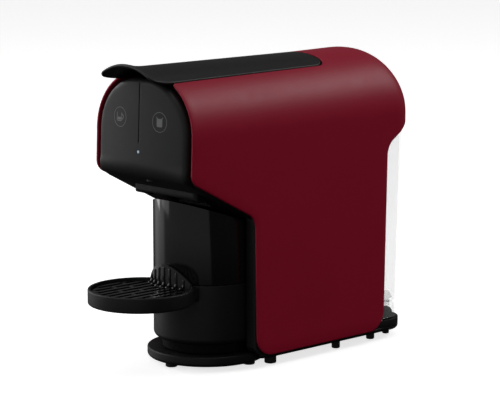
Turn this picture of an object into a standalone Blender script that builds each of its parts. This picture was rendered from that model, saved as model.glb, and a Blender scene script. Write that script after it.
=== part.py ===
"""Pod coffee machine: a slim pod brewer as an assembly of separate parts.

Units are metres, +Z is up and the front of the machine faces -Y. Every mesh is
drawn in the machine's own frame, whose Z axis is the axis of the round column
that holds the used capsules. The machine empty puts that axis at COLUMN_Y, so
that the world origin lies under the middle of the whole object.
"""

import math

import bmesh
import bpy
from mathutils import Matrix, Vector

# ---- Overall form ---------------------------------------------------------
HALF_WIDTH = 0.059
COLUMN_Y = -0.0378
GAP = 0.0003
WALL = 0.0022

# Arched section of the casing: a superellipse on straight sides.
ARCH_POWER = 2.12
SPRING_Z = 0.196
CROWN_Z = 0.2478
CROWN_SLOPE = 0.012
CROWN_FROM_Y = -0.068
ARCH_STEPS = 20

# Rear dome of the casing.
DOME_START_Y = 0.1535
REAR_Y = 0.1916
DOME_POWER = 2.85
DOME_STEPS = 7
CORNER_RADIUS = 0.024
CORNER_POWER = 2.18

# Head and underside.
HEAD_FRONT_Y = -0.0679
HEAD_LEAN = 0.04
LEAN_FROM_Z = 0.215
UNDERSIDE_Z = 0.1531
UNDERSIDE_Y = -0.0511
UNDERSIDE_SLOPE = -0.52
FACE_AHEAD = 0.0052
FACE_INSET = 0.006
HEAD_INSET = 0.0026
HEAD_RECESS = 0.0015
UNDERSIDE_DROP = 0.0008
FACE_THICK = 0.0024
BUTTON_ROOM = 0.0062
SLIT_BOTTOM_Z = 0.1905
SLIT_WIDTH = 0.0006
ICON_X = 0.024
ICON_Z = 0.2085
LED_Z = 0.1824
BLOCK_HALF_WIDTH = 0.038
BLOCK_FRONT_Y = -0.047
BLOCK_BOTTOM_Z = 0.1415

# Round column: drip container, capsule bin, base disc and cup tray.
COLUMN_RADIUS = 0.0446
RECESS_RADIUS = 0.0462
CONTAINER_BOTTOM_Z = 0.021
CONTAINER_TOP_Z = 0.071
CONTAINER_WALL = 0.002
BIN_FLOOR_Z = 0.060
BIN_FRONT_Z = 0.1395
BIN_SLOPE = -0.36
BIN_WALL = 0.0018
DISC_RADIUS = 0.050
DISC_TOP_Z = 0.0125
DISC_BOTTOM_Z = 0.0039
PEDESTAL_RADIUS = 0.038
TRAY_Y = -0.0727
TRAY_RADIUS = 0.0433
TRAY_BOTTOM_Z = 0.0585
TRAY_RIM_Z = 0.0711
TRAY_WALL = 0.0028
GRID_TOP_Z = 0.0690

# Lever on the crown.
LEVER_HALF_WIDTH = 0.0325
LEVER_FRONT_Y = -0.088
LEVER_REAR_Y = 0.107
LEVER_THICK = 0.0027
LEVER_RAISE = 0.003
LEVER_FLARE = 0.0039
LEVER_FRONT_RADIUS = 0.006
LEVER_REAR_RADIUS = 0.011
FLARE_START_Y = -0.062
HINGE_Y = 0.098
HINGE_Z = 0.2365

# Brew unit.
BREW_Z = 0.200
SPOUT_Y = -0.0585
PISTON_FRONT_Y = -0.016
PISTON_PIN_Y = 0.028
CRANK_Y = 0.078
CRANK_Z = 0.229
FRAME_X = 0.025

# Water tank.
TANK_HALF_WIDTH = 0.0538
TANK_FRONT_Y = 0.1255
TANK_REAR_Y = 0.190
TANK_TOP_REAR_Y = 0.1915
TANK_TOP_HALF_WIDTH = 0.0555
TANK_BOTTOM_Z = 0.0174
TANK_FLOOR_Z = 0.028
TANK_TOP_Z = 0.1810
TANK_TOP_SLOPE = 0.200
TANK_WALL = 0.002
TANK_HINGE_Y = 0.189
TANK_HINGE_Z = 0.0174
VALVE_X = 0.041
VALVE_Y = 0.175
COUPLER_RADIUS = 0.0056

# Base.
BASE_BOTTOM_Z = 0.0068
BASE_TOP_Z = 0.0100
BASE_RIM_Z = 0.0164
CASING_BOTTOM_Z = 0.0103
CHASSIS_HALF_WIDTH = 0.0564
CHASSIS_FRONT_Y = 0.0015
CHASSIS_REAR_Y = 0.1215
CHASSIS_TOP_Z = 0.168
GLAND_X = -0.022
GLAND_Z = 0.0118

FEET = [
    ("foot_disc_front", 0.0, -0.040, 0.0050, DISC_BOTTOM_Z),
    ("foot_disc_right", 0.038, 0.012, 0.0050, DISC_BOTTOM_Z),
    ("foot_disc_left", -0.038, 0.012, 0.0050, DISC_BOTTOM_Z),
    ("foot_front_right", 0.047, 0.028, 0.0050, BASE_BOTTOM_Z),
    ("foot_front_left", -0.047, 0.028, 0.0050, BASE_BOTTOM_Z),
    ("foot_middle_right", 0.048, 0.105, 0.0036, BASE_BOTTOM_Z),
    ("foot_middle_left", -0.048, 0.105, 0.0036, BASE_BOTTOM_Z),
    ("foot_rear_right", 0.045, 0.151, 0.0036, BASE_BOTTOM_Z),
    ("foot_rear_left", -0.045, 0.151, 0.0036, BASE_BOTTOM_Z),
    ("foot_corner_right", 0.040, 0.176, 0.0030, BASE_BOTTOM_Z),
    ("foot_corner_left", -0.040, 0.176, 0.0030, BASE_BOTTOM_Z),
]
SCREW_PLACES = [(x, y) for x in (-0.0502, 0.0502) for y in (0.056, 0.112)]


# ---- Tools ----------------------------------------------------------------
def clear_scene():
    for old in list(bpy.data.objects):
        bpy.data.objects.remove(old, do_unlink=True)


def make_material(name, colour, roughness, metallic=0.0, alpha=1.0):
    material = bpy.data.materials.new(name)
    material.use_nodes = True
    shader = material.node_tree.nodes["Principled BSDF"]
    shader.inputs["Base Color"].default_value = (*colour, 1.0)
    shader.inputs["Roughness"].default_value = roughness
    shader.inputs["Metallic"].default_value = metallic
    shader.inputs["Alpha"].default_value = alpha
    return material


def make_empty(name, location, parent=None):
    empty = bpy.data.objects.new(name, None)
    empty.empty_display_size = 0.01
    empty.location = location
    empty.parent = parent
    bpy.context.scene.collection.objects.link(empty)
    return empty


def make_object(name, shape, material=None, pivot=None):
    """An object from (points, faces) drawn in the machine's frame."""
    points, faces = shape
    mesh = bpy.data.meshes.new(name)
    mesh.from_pydata([tuple(p) for p in points], [], faces)
    work = bmesh.new()
    work.from_mesh(mesh)
    bmesh.ops.remove_doubles(work, verts=work.verts, dist=1e-6)
    bmesh.ops.recalc_face_normals(work, faces=work.faces)
    work.to_mesh(mesh)
    work.free()
    mesh.shade_smooth()
    mesh.set_sharp_from_angle(angle=math.radians(35))
    if material:
        mesh.materials.append(material)
    piece = bpy.data.objects.new(name, mesh)
    bpy.context.scene.collection.objects.link(piece)
    piece.parent = pivot or MACHINE
    if pivot:
        piece.location = -pivot.location
    return piece


def make_tool(name, shape):
    """A cutter, which shapes other pieces and isn't one itself."""
    tool = make_object(name, shape)
    tool.hide_render = True
    tool.display_type = "WIRE"
    return tool


def boolean(piece, tool, operation="DIFFERENCE"):
    modifier = piece.modifiers.new(tool.name, "BOOLEAN")
    modifier.operation = operation
    modifier.solver = "EXACT"
    modifier.object = tool
    return piece


def cut(piece, name, shape):
    return boolean(piece, make_tool(name, shape))


def keep(piece, name, shape):
    return boolean(piece, make_tool(name, shape), "INTERSECT")


def add(piece, name, shape):
    return boolean(piece, make_tool(name, shape), "UNION")


def joined(*shapes):
    points, faces = [], []
    for more_points, more_faces in shapes:
        start = len(points)
        points += list(more_points)
        faces += [tuple(start + i for i in face) for face in more_faces]
    return points, faces


def loft(rings):
    """A closed skin through rings of equal length, with a flat cap at each end."""
    count = len(rings[0])
    points = [p for ring in rings for p in ring]
    faces = []
    for k in range(len(rings) - 1):
        for i in range(count):
            j = (i + 1) % count
            faces.append((k * count + i, k * count + j, (k + 1) * count + j, (k + 1) * count + i))
    last = (len(rings) - 1) * count
    faces.append(tuple(range(count)))
    faces.append(tuple(last + i for i in range(count)))
    return points, faces


def prism(outline, low, high, axis):
    """An outline in the plane across an axis, pushed along it."""
    order = {"X": lambda a, b, c: (c, a, b), "Y": lambda a, b, c: (a, c, b), "Z": lambda a, b, c: (a, b, c)}
    place = order[axis]
    return loft([[place(a, b, level) for a, b in outline] for level in (low, high)])


def box(x, y, z):
    return prism([(x[0], y[0]), (x[1], y[0]), (x[1], y[1]), (x[0], y[1])], z[0], z[1], "Z")


def turned(profile, x=0.0, y=0.0, steps=32, axis="Z", z=0.0):
    """A closed (radius, height) profile turned a full circle about an axis."""
    points, faces = [], []
    count = len(profile)
    for k in range(steps):
        angle = math.tau * k / steps
        for radius, height in profile:
            across, up = radius * math.cos(angle), radius * math.sin(angle)
            if axis == "Z":
                points.append((x + across, y + up, z + height))
            elif axis == "Y":
                points.append((x + across, y + height, z + up))
            else:
                points.append((x + height, y + across, z + up))
    for k in range(steps):
        ahead = (k + 1) % steps
        for i in range(count):
            j = (i + 1) % count
            faces.append((k * count + i, k * count + j, ahead * count + j, ahead * count + i))
    return points, faces


def rod(radius, low, high, x=0.0, y=0.0, steps=24, axis="Z", z=0.0):
    return turned([(0, low), (radius, low), (radius, high), (0, high)], x, y, steps, axis, z)


def soft_rod(radius, low, high, edge, x=0.0, y=0.0, steps=24, axis="Z", z=0.0):
    """A rod with a chamfer at both ends."""
    profile = [
        (0, low),
        (radius - edge, low),
        (radius, low + edge),
        (radius, high - edge),
        (radius - edge, high),
        (0, high),
    ]
    return turned(profile, x, y, steps, axis, z)


def rounded(corners, steps=5):
    """An outline of (a, b, radius) corners, each turned into an arc."""
    outline = []
    count = len(corners)
    for i, (a, b, radius) in enumerate(corners):
        here = Vector((a, b))
        if not radius:
            outline.append((a, b))
            continue
        before = (Vector(corners[i - 1][:2]) - here).normalized()
        after = (Vector(corners[(i + 1) % count][:2]) - here).normalized()
        half = before.angle(after) / 2
        centre = here + (before + after).normalized() * radius / math.sin(half)
        start = here + before * radius / math.tan(half) - centre
        sweep = math.pi - 2 * half
        turn = 1 if before.x * after.y - before.y * after.x < 0 else -1
        for k in range(steps + 1):
            angle = turn * sweep * k / steps
            outline.append(tuple(centre + Matrix.Rotation(angle, 2) @ start))
    return outline


def rounded_plan(x, y, front_radius, rear_radius, steps=5):
    return rounded(
        [
            (-x, y[0], front_radius),
            (x, y[0], front_radius),
            (x, y[1], rear_radius),
            (-x, y[1], rear_radius),
        ],
        steps,
    )


# ---- The casing's form ----------------------------------------------------
def superellipse(t, power):
    return max(0.0, 1 - t**power) ** (1 / power)


def crown_z(y, inset=0.0):
    """Height of the casing's crown above a place along the machine."""
    top = CROWN_Z + CROWN_SLOPE * (y - CROWN_FROM_Y) - inset
    t = min(1.0, max(0.0, (y - DOME_START_Y) / (REAR_Y - inset - DOME_START_Y)))
    return SPRING_Z + (top - SPRING_Z) * superellipse(t, DOME_POWER)


def half_width(y, inset=0.0):
    start = REAR_Y - CORNER_RADIUS
    t = min(1.0, max(0.0, (y - start) / (CORNER_RADIUS - inset)))
    rounding = (CORNER_RADIUS - inset) * superellipse(t, CORNER_POWER)
    return HALF_WIDTH - CORNER_RADIUS + rounding


def arch_z(x, y, inset=0.0):
    share = min(1.0, abs(x) / half_width(y, inset))
    return SPRING_Z + (crown_z(y, inset) - SPRING_Z) * superellipse(share, ARCH_POWER)


def arch_ring(y, inset, bottom):
    width, rise = half_width(y, inset), crown_z(y, inset) - SPRING_Z
    ring = [(-width, y, bottom)]
    for k in range(ARCH_STEPS + 1):
        angle = math.pi * (1 - k / ARCH_STEPS)
        across, up = math.cos(angle), math.sin(angle)
        x = math.copysign(abs(across) ** (2 / ARCH_POWER), across) * width
        ring.append((x, y, SPRING_Z + rise * abs(up) ** (2 / ARCH_POWER)))
    ring.append((width, y, bottom))
    return ring


def casing_form(inset, front, bottom, rear=None):
    """A solid of the casing's outer form, moved in by an inset."""
    if rear is not None:
        return loft([arch_ring(y, inset, bottom) for y in (front, rear)])
    places = [front, DOME_START_Y]
    reach = REAR_Y - inset - DOME_START_Y
    for k in range(1, DOME_STEPS + 1):
        places.append(DOME_START_Y + reach * math.sin(math.pi / 2 * k / DOME_STEPS))
    return loft([arch_ring(y, inset, bottom) for y in places])


def head_y(z):
    return HEAD_FRONT_Y + HEAD_LEAN * (z - LEAN_FROM_Z)


def face_y(z):
    return head_y(z) - FACE_AHEAD


def underside_z(y):
    return UNDERSIDE_Z + UNDERSIDE_SLOPE * (y - UNDERSIDE_Y)


def casing_side():
    """The casing's edges as they run when seen from the side."""
    return rounded(
        [
            (head_y(0.27), 0.27, 0),
            (-0.0698, underside_z(-0.0698), 0.011),
            (0.0002, underside_z(0.0002), 0.013),
            (0.0021, CASING_BOTTOM_Z, 0.0175),
            (0.1534, CASING_BOTTOM_Z, 0.0176),
            (0.1569, 0.1705, 0.016),
            (0.1845, 0.1875, 0.010),
            (0.20, 0.1885, 0),
            (0.20, 0.27, 0),
        ]
    )


# ---- Casing, face and frame -----------------------------------------------
def outer_shell():
    piece = make_object("outer_shell", casing_form(0, -0.08, 0.0), RED)
    keep(piece, "casing_side_tool", prism(casing_side(), -0.07, 0.07, "X"))
    cut(piece, "casing_inside_tool", casing_form(WALL, -0.09, -0.01))
    opening = rounded_plan(LEVER_HALF_WIDTH + 0.0005, (-0.09, LEVER_REAR_Y + 0.0005), 0, 0.0112)
    cut(piece, "lever_opening_tool", prism(opening, 0.21, 0.28, "Z"))
    cut(piece, "lever_swing_tool", lever_swing())


def head_side(front, thick=0.0, drop=0.0, rear=0.0):
    """Side outline of the head's moulding, from its front down to the recess."""
    drop += UNDERSIDE_DROP - thick * 1.1
    low = BLOCK_FRONT_Y
    return rounded(
        [
            (front(0.27) + thick, 0.27, 0),
            (front(0.165) + thick, underside_z(front(0.165) + thick) - drop, 0.014 - thick),
            (low, underside_z(low) - drop, 0),
            (rear, underside_z(rear) - drop, 0),
            (rear, 0.27, 0),
        ]
    )


def head_recess_y(z):
    return head_y(z) + HEAD_RECESS


def front_housing():
    """Black moulding of the head: lower face, chin, underside and spout block."""
    piece = make_object("front_housing", casing_form(HEAD_INSET, -0.09, 0.1, 0.0), BLACK)
    keep(piece, "housing_side_tool", prism(head_side(head_recess_y), -0.07, 0.07, "X"))
    face = make_tool("face_block_tool", casing_form(FACE_INSET, -0.09, 0.1, -0.0515))
    keep(face, "face_side_tool", prism(head_side(face_y, drop=0.0003, rear=-0.04), -0.07, 0.07, "X"))
    boolean(piece, face, "UNION")
    block = [
        (BLOCK_FRONT_Y, BLOCK_BOTTOM_Z),
        (-0.0292, BLOCK_BOTTOM_Z),
        (-0.010, underside_z(-0.010) + 0.0005),
        (-0.010, 0.160),
        (BLOCK_FRONT_Y, 0.160),
    ]
    add(piece, "block_tool", prism(block, -BLOCK_HALF_WIDTH, BLOCK_HALF_WIDTH, "X"))
    hollow = make_tool("housing_hollow_tool", casing_form(FACE_INSET + FACE_THICK, -0.09, 0.1, 0.02))
    keep(hollow, "housing_hollow_side_tool", prism(head_side(face_y, FACE_THICK, rear=0.01), -0.07, 0.07, "X"))
    boolean(piece, hollow)
    face_rim = face_y(SLIT_BOTTOM_Z) + BUTTON_ROOM
    cut(piece, "button_window_tool", box((-0.07, 0.07), (-0.1, face_rim), (SLIT_BOTTOM_Z, 0.28)))
    cut(piece, "head_top_tool", box((-0.07, 0.07), (face_rim + 0.0023, 0.02), (0.228, 0.28)))
    cut(piece, "lever_room_tool", box((-0.034, 0.034), (-0.1, 0.02), (0.2375, 0.28)))
    cut(piece, "capsule_chute_tool", box((-0.022, 0.022), (-0.0455, -0.0125), (0.12, 0.175)))
    cut(piece, "spout_hole_tool", rod(0.0065, 0.14, 0.18, y=SPOUT_Y))
    cut(piece, "light_hole_tool", rod(0.0018, -0.09, -0.06, axis="Y", z=LED_Z))


def face_outline(side):
    """One half of the face above the end of the slit."""
    inset = FACE_INSET
    rows = []
    steps = 9
    edge = HALF_WIDTH - inset
    outline = [(SLIT_WIDTH / 2, SLIT_BOTTOM_Z + GAP), (edge, SLIT_BOTTOM_Z + GAP)]
    for k in range(steps + 1):
        angle = math.pi / 2 * k / steps
        x = edge * math.cos(angle) ** (2 / ARCH_POWER)
        z = SPRING_Z + (CROWN_Z - inset - SPRING_Z) * math.sin(angle) ** (2 / ARCH_POWER)
        rows.append((max(x, SLIT_WIDTH / 2), min(z, 0.2425)))
    outline += rows
    return [(side * x, z) for x, z in outline]


def button(name, side, pivot):
    """A half of the upper face that flexes in when its symbol is pressed."""
    outline = face_outline(side)
    front = [(x, face_y(z), z) for x, z in outline]
    back = [(x, face_y(z) + FACE_THICK, z) for x, z in outline]
    make_object(name, loft([front, back]), BLACK, pivot)


def light_guide():
    low = face_y(LED_Z) + 0.0002
    make_object("light_guide", rod(0.0015, low, -0.0664, axis="Y", z=LED_Z, steps=12), CLEAR)


def chassis():
    """Inner frame: side walls, front wall round the column and tank bay wall."""
    plan = rounded_plan(CHASSIS_HALF_WIDTH, (CHASSIS_FRONT_Y, CHASSIS_REAR_Y), 0.003, 0.003, 3)
    piece = make_object("chassis", prism(plan, 0.0, CHASSIS_TOP_Z, "Z"), BLACK)
    side = rounded(
        [
            (-0.01, underside_z(-0.01) - 0.0002, 0),
            (CHASSIS_FRONT_Y, underside_z(CHASSIS_FRONT_Y) - 0.0002, 0.006),
            (CHASSIS_FRONT_Y, CASING_BOTTOM_Z, 0.006),
            (0.1485, CASING_BOTTOM_Z, 0.006),
            (0.1485, 0.2, 0),
            (-0.01, 0.2, 0),
        ],
        4,
    )
    keep(piece, "chassis_side_tool", prism(side, -0.07, 0.07, "X"))
    wall = WALL
    inner_plan = rounded_plan(
        CHASSIS_HALF_WIDTH - wall, (CHASSIS_FRONT_Y + wall, CHASSIS_REAR_Y - wall), 0.002, 0.002, 3
    )
    hollow = make_tool("chassis_hollow_tool", prism(inner_plan, 0.0, 0.2, "Z"))
    cut(hollow, "recess_wall_tool", rod(RECESS_RADIUS + wall, -0.01, 0.21, steps=40))
    boolean(piece, hollow)
    places = [rod(0.0048, CASING_BOTTOM_Z + 0.0005, 0.034, x, y, 16) for x, y in SCREW_PLACES]
    add(piece, "screw_boss_tool", joined(*places))
    holes = [rod(0.0018, 0.0, 0.030, x, y, 12) for x, y in SCREW_PLACES]
    cut(piece, "boss_hole_tool", joined(*holes))
    cut(piece, "column_recess_tool", rod(RECESS_RADIUS, -0.01, 0.21, steps=40))
    cut(piece, "disc_clearance_tool", rod(DISC_RADIUS + 0.0004, 0.0, DISC_TOP_Z + GAP, steps=40))
    cut(piece, "hose_hole_tool", rod(0.0034, 0.1, 0.13, 0.0290, 0.0, 12, "Y", 0.0135))


# ---- Base -----------------------------------------------------------------
def base_plate():
    piece = make_object(
        "base_plate",
        prism(rounded_plan(0.0572, (0.008, TANK_REAR_Y), 0.010, 0.026), BASE_BOTTOM_Z, BASE_TOP_Z, "Z"),
        BLACK,
    )
    deck = rounded_plan(0.0558, (TANK_FRONT_Y - 0.0035, TANK_REAR_Y), 0.004, 0.026)
    add(piece, "tank_deck_tool", prism(deck, 0.008, BASE_RIM_Z, "Z"))
    socket = rounded_plan(0.0537, (TANK_FRONT_Y + 0.001, TANK_REAR_Y - 0.0021), 0.003, 0.0239)
    cut(piece, "tank_socket_tool", prism(socket, 0.0095, 0.03, "Z"))
    cut(piece, "hose_notch_tool", box((0.0260, 0.0335), (0.10, 0.13), (0.0098, 0.03)))
    cut(piece, "disc_room_tool", rod(DISC_RADIUS + 0.0004, 0.0, 0.02, steps=40))
    cut(piece, "disc_room_front_tool", box((-0.052, 0.052), (-0.02, 0.0125), (0.0, 0.02)))
    shanks = [rod(0.0018, 0.0, 0.02, x, y, 12) for x, y in SCREW_PLACES]
    heads = [rod(0.0034, 0.0, 0.0086, x, y, 16) for x, y in SCREW_PLACES]
    cut(piece, "screw_shank_tool", joined(*shanks))
    cut(piece, "screw_head_tool", joined(*heads))
    cut(piece, "gland_hole_tool", rod(0.0039, 0.18, 0.2, GLAND_X, 0.0, 16, "Y", GLAND_Z))


def base_disc():
    low, high, edge = DISC_BOTTOM_Z, DISC_TOP_Z, 0.003
    profile = [(0, low), (DISC_RADIUS - edge, low)]
    for k in range(7):
        angle = -math.pi / 2 + math.pi * k / 6
        radius = DISC_RADIUS - edge + edge * math.cos(angle)
        profile.append((radius, (low + high) / 2 + (high - low) / 2 * math.sin(angle)))
    profile.append((0, high))
    make_object("base_disc", turned(profile, steps=48), BLACK)


def pedestal():
    """Short neck that carries the container and guides it as it slides out."""
    low, high = DISC_TOP_Z + GAP, CONTAINER_BOTTOM_Z - GAP
    make_object("pedestal", soft_rod(PEDESTAL_RADIUS, low, high, 0.001, steps=40), BLACK)


def feet():
    for name, x, y, radius, top in FEET:
        make_object(name, soft_rod(radius, 0.0, top - GAP, 0.0006, x, y, 16), RUBBER)


def base_screws():
    for number, (x, y) in enumerate(SCREW_PLACES, 1):
        profile = [
            (0, 0.0071),
            (0.0030, 0.0071),
            (0.0030, 0.0083),
            (0.0014, 0.0086),
            (0.0014, 0.026),
            (0, 0.027),
        ]
        make_object(f"base_screw_{number}", turned(profile, x, y, 12), STEEL)


def cord_gland():
    rear = TANK_REAR_Y
    profile = [
        (0, rear - 0.0019),
        (0.0036, rear - 0.0019),
        (0.0036, rear + 0.0004),
        (0.0046, rear + 0.0004),
        (0.0042, rear + 0.0015),
        (0, rear + 0.0015),
    ]
    make_object("cord_gland", turned(profile, GLAND_X, 0.0, 16, "Y", GLAND_Z), RUBBER)


# ---- Column and cup tray --------------------------------------------------
def drip_container():
    r, low, high, t = COLUMN_RADIUS, CONTAINER_BOTTOM_Z, CONTAINER_TOP_Z, CONTAINER_WALL
    profile = [(0, low)]
    for k in range(5):
        angle = -math.pi / 2 * (1 - k / 4)
        profile.append((r - 0.005 + 0.005 * math.cos(angle), low + 0.005 + 0.005 * math.sin(angle)))
    profile += [(r, high), (r - t, high), (r - t, low + 0.006), (r - 0.006, low + t), (0, low + t)]
    make_object("drip_container", turned(profile, steps=40), BLACK, DRAWER)


def capsule_bin():
    """Cup for used capsules, with a slanted rim and a spigot in the container."""
    r, t = COLUMN_RADIUS, BIN_WALL
    spigot = r - CONTAINER_WALL - GAP
    floor, shoulder = BIN_FLOOR_Z, CONTAINER_TOP_Z + GAP
    outer = [(0, floor), (spigot, floor), (spigot, shoulder), (r, shoulder), (r, 0.15), (0, 0.15)]
    piece = make_object("capsule_bin", turned(outer, steps=40), SMOKED, DRAWER)
    rim = [(-0.06, BIN_FRONT_Z + BIN_SLOPE * (-0.06 + r)), (0.06, BIN_FRONT_Z + BIN_SLOPE * (0.06 + r))]
    side = [(-0.06, 0.0), (0.06, 0.0), rim[1], rim[0]]
    keep(piece, "bin_side_tool", prism(side, -0.06, 0.06, "X"))
    cut(piece, "bin_inside_tool", rod(spigot - t, floor + 0.0018, 0.2, steps=40))


def fan_z(x):
    """Height of the splash guard's arched edge above a place across the tray."""
    share = min(1.0, abs(x) / 0.0248)
    return TRAY_RIM_Z + 0.0153 * max(0.0, 1 - share**2.2)


def cup_tray():
    r, low, high, t = TRAY_RADIUS, TRAY_BOTTOM_Z, TRAY_RIM_Z, TRAY_WALL
    profile = [
        (0, low),
        (r - 0.0015, low),
        (r, low + 0.0015),
        (r, high - 0.0008),
        (r - 0.0008, high),
        (r - t + 0.0008, high),
        (r - t, high - 0.0008),
        (r - t, low + 0.002),
        (0, low + 0.002),
    ]
    piece = make_object("cup_tray", turned(profile, 0.0, TRAY_Y, 48), BLACK, TRAY)
    bracket = rounded_plan(0.0285, (-0.047, -0.030), 0.002, 0.002, 2)
    add(piece, "tray_bracket_tool", prism(bracket, low, high - 0.0012, "Z"))
    dish = turned([(0, low + 0.002), (r - t, low + 0.002), (r - t, 0.1), (0, 0.1)], 0.0, TRAY_Y, 48)
    cut(piece, "tray_dish_tool", dish)
    room = make_tool("guard_room_tool", rod(COLUMN_RADIUS + 0.0036, 0.0658, 0.1, steps=40))
    keep(room, "guard_room_width_tool", box((-0.0266, 0.0266), (-0.07, 0.0), (0.0, 0.2)))
    boolean(piece, room)
    cut(piece, "tray_column_tool", rod(COLUMN_RADIUS + 0.0004, 0.0, 0.1, steps=40))


def tray_grid():
    """Slotted plate with a fan that curves up against the column."""
    r = TRAY_RADIUS - TRAY_WALL - 0.0006
    top, thick = GRID_TOP_Z, 0.0022
    piece = make_object("tray_grid", rod(r, top - thick, top, 0.0, TRAY_Y, 40), BLACK, GRID)
    guard_low = COLUMN_RADIUS + 0.0008
    rows = []
    steps = 14
    for k in range(steps + 1):
        angle = math.asin(0.0246 * (2 * k / steps - 1) / guard_low)
        x_in, y_in = guard_low * math.sin(angle), -guard_low * math.cos(angle)
        x_out, y_out = (guard_low + 0.0022) * math.sin(angle), -(guard_low + 0.0022) * math.cos(angle)
        crest = max(fan_z(x_in), top + 0.0003)
        low = top - thick
        rows.append([(x_in, y_in, low), (x_in, y_in, crest), (x_out, y_out, crest), (x_out, y_out, low)])
    add(piece, "splash_guard_tool", loft(rows))
    cut(piece, "grid_column_tool", rod(COLUMN_RADIUS + 0.0007, 0.0, 0.2, steps=40))
    slots = []
    for row, x in enumerate(range(-4, 5)):
        middle = x * 0.0078
        reach = math.sqrt(max(0.0, (r - 0.0035) ** 2 - middle**2))
        rear = min(TRAY_Y + reach, -math.sqrt((COLUMN_RADIUS + 0.0065) ** 2 - middle**2))
        front = TRAY_Y - reach
        split = (front + rear) / 2 + (0.008 if row % 2 else -0.008)
        for start, end in ((front, split - 0.0015), (split + 0.0015, rear)):
            if end - start > 0.006:
                slots.append(box((middle - 0.0022, middle + 0.0022), (start, end), (0.05, 0.0695)))
    cut(piece, "grid_slot_tool", joined(*slots))


# ---- Lever ----------------------------------------------------------------
def lever_top(x, y):
    along = min(1.0, max(0.0, (y - CROWN_FROM_Y) / (LEVER_REAR_Y - CROWN_FROM_Y)))
    raised = LEVER_RAISE * (1 - along) * (1 - (x / LEVER_HALF_WIDTH) ** 2)
    lift = max(0.0, (FLARE_START_Y - y) / (FLARE_START_Y - LEVER_FRONT_Y))
    return arch_z(x, y) + raised + LEVER_FLARE * lift**2


def lever_half_width(y):
    for end, radius in ((LEVER_FRONT_Y, LEVER_FRONT_RADIUS), (LEVER_REAR_Y, LEVER_REAR_RADIUS)):
        deep = radius - abs(y - end)
        if deep > 0:
            return LEVER_HALF_WIDTH - radius + math.sqrt(radius**2 - deep**2)
    return LEVER_HALF_WIDTH


def lever_swing():
    """The room that the lever's rounded rear end sweeps as it turns on its hinge."""
    rings = []
    steps, sides = 16, 40
    for k in range(steps + 1):
        x = (LEVER_HALF_WIDTH + 0.0004) * (2 * k / steps - 1)
        corner = max(0.0, abs(x) - (LEVER_HALF_WIDTH - LEVER_REAR_RADIUS))
        rear = LEVER_REAR_Y - LEVER_REAR_RADIUS + math.sqrt(max(0.0, LEVER_REAR_RADIUS**2 - corner**2))
        radius = math.hypot(rear - HINGE_Y, lever_top(x, rear) - HINGE_Z) + GAP
        turns = [math.tau * i / sides for i in range(sides)]
        rings.append([(x, HINGE_Y + radius * math.cos(a), HINGE_Z + radius * math.sin(a)) for a in turns])
    return loft(rings)


def lever():
    places = [LEVER_FRONT_Y, -0.0872, -0.085, -0.082, -0.078, -0.073, -0.068, -0.06]
    places += [-0.03, 0.01, 0.05, 0.08, 0.096, 0.100, 0.1035, 0.106, LEVER_REAR_Y]
    steps = 12
    rings = []
    for y in places:
        width = lever_half_width(y)
        across = [width * (2 * k / steps - 1) for k in range(steps + 1)]
        top = [(x, y, lever_top(x, y)) for x in across]
        under = [(x, y, lever_top(x, y) - LEVER_THICK) for x in reversed(across)]
        rings.append(top + under)
    make_object("lever", loft(rings), BLACK, LEVER)


def lever_bracket():
    """Two ears under the lever that turn on the axle and work the links."""
    ear = rounded(
        [
            (0.0735, 0.2245, 0.004),
            (0.083, 0.2245, 0.004),
            (0.0925, 0.2315, 0.003),
            (0.1035, 0.2315, 0.0045),
            (0.1035, 0.2425, 0.003),
            (0.086, 0.2425, 0.003),
            (0.0735, 0.2335, 0.004),
        ],
        3,
    )
    piece = make_object("lever_bracket", prism(ear, 0.0185, 0.0215, "X"), STEEL, LEVER)
    add(piece, "ear_tool", prism(ear, -0.0215, -0.0185, "X"))
    bar = box((-0.020, 0.020), (0.087, 0.093), (0.2385, 0.2422))
    add(piece, "bar_tool", bar)
    stubs = [rod(0.002, 0.0143, 0.0190, 0.0, CRANK_Y, 12, "X", CRANK_Z)]
    stubs.append(rod(0.002, -0.0190, -0.0143, 0.0, CRANK_Y, 12, "X", CRANK_Z))
    add(piece, "crank_pin_tool", joined(*stubs))
    cut(piece, "bracket_bore_tool", rod(0.0023, -0.03, 0.03, 0.0, HINGE_Y, 16, "X", HINGE_Z))


def lever_axle():
    make_object("lever_axle", rod(0.002, -0.0285, 0.0285, 0.0, HINGE_Y, 16, "X", HINGE_Z), STEEL)


def capsule_port():
    """Deck under the lever with the opening that a capsule drops through."""
    plan = rounded_plan(0.030, (-0.060, 0.044), 0.004, 0.004, 3)
    piece = make_object("capsule_port", prism(plan, 0.2310, 0.2345, "Z"), BLACK)
    mouth = rounded_plan(0.0205, (-0.0455, -0.0145), 0.006, 0.006, 3)
    cut(piece, "port_mouth_tool", prism(mouth, 0.22, 0.25, "Z"))


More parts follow.
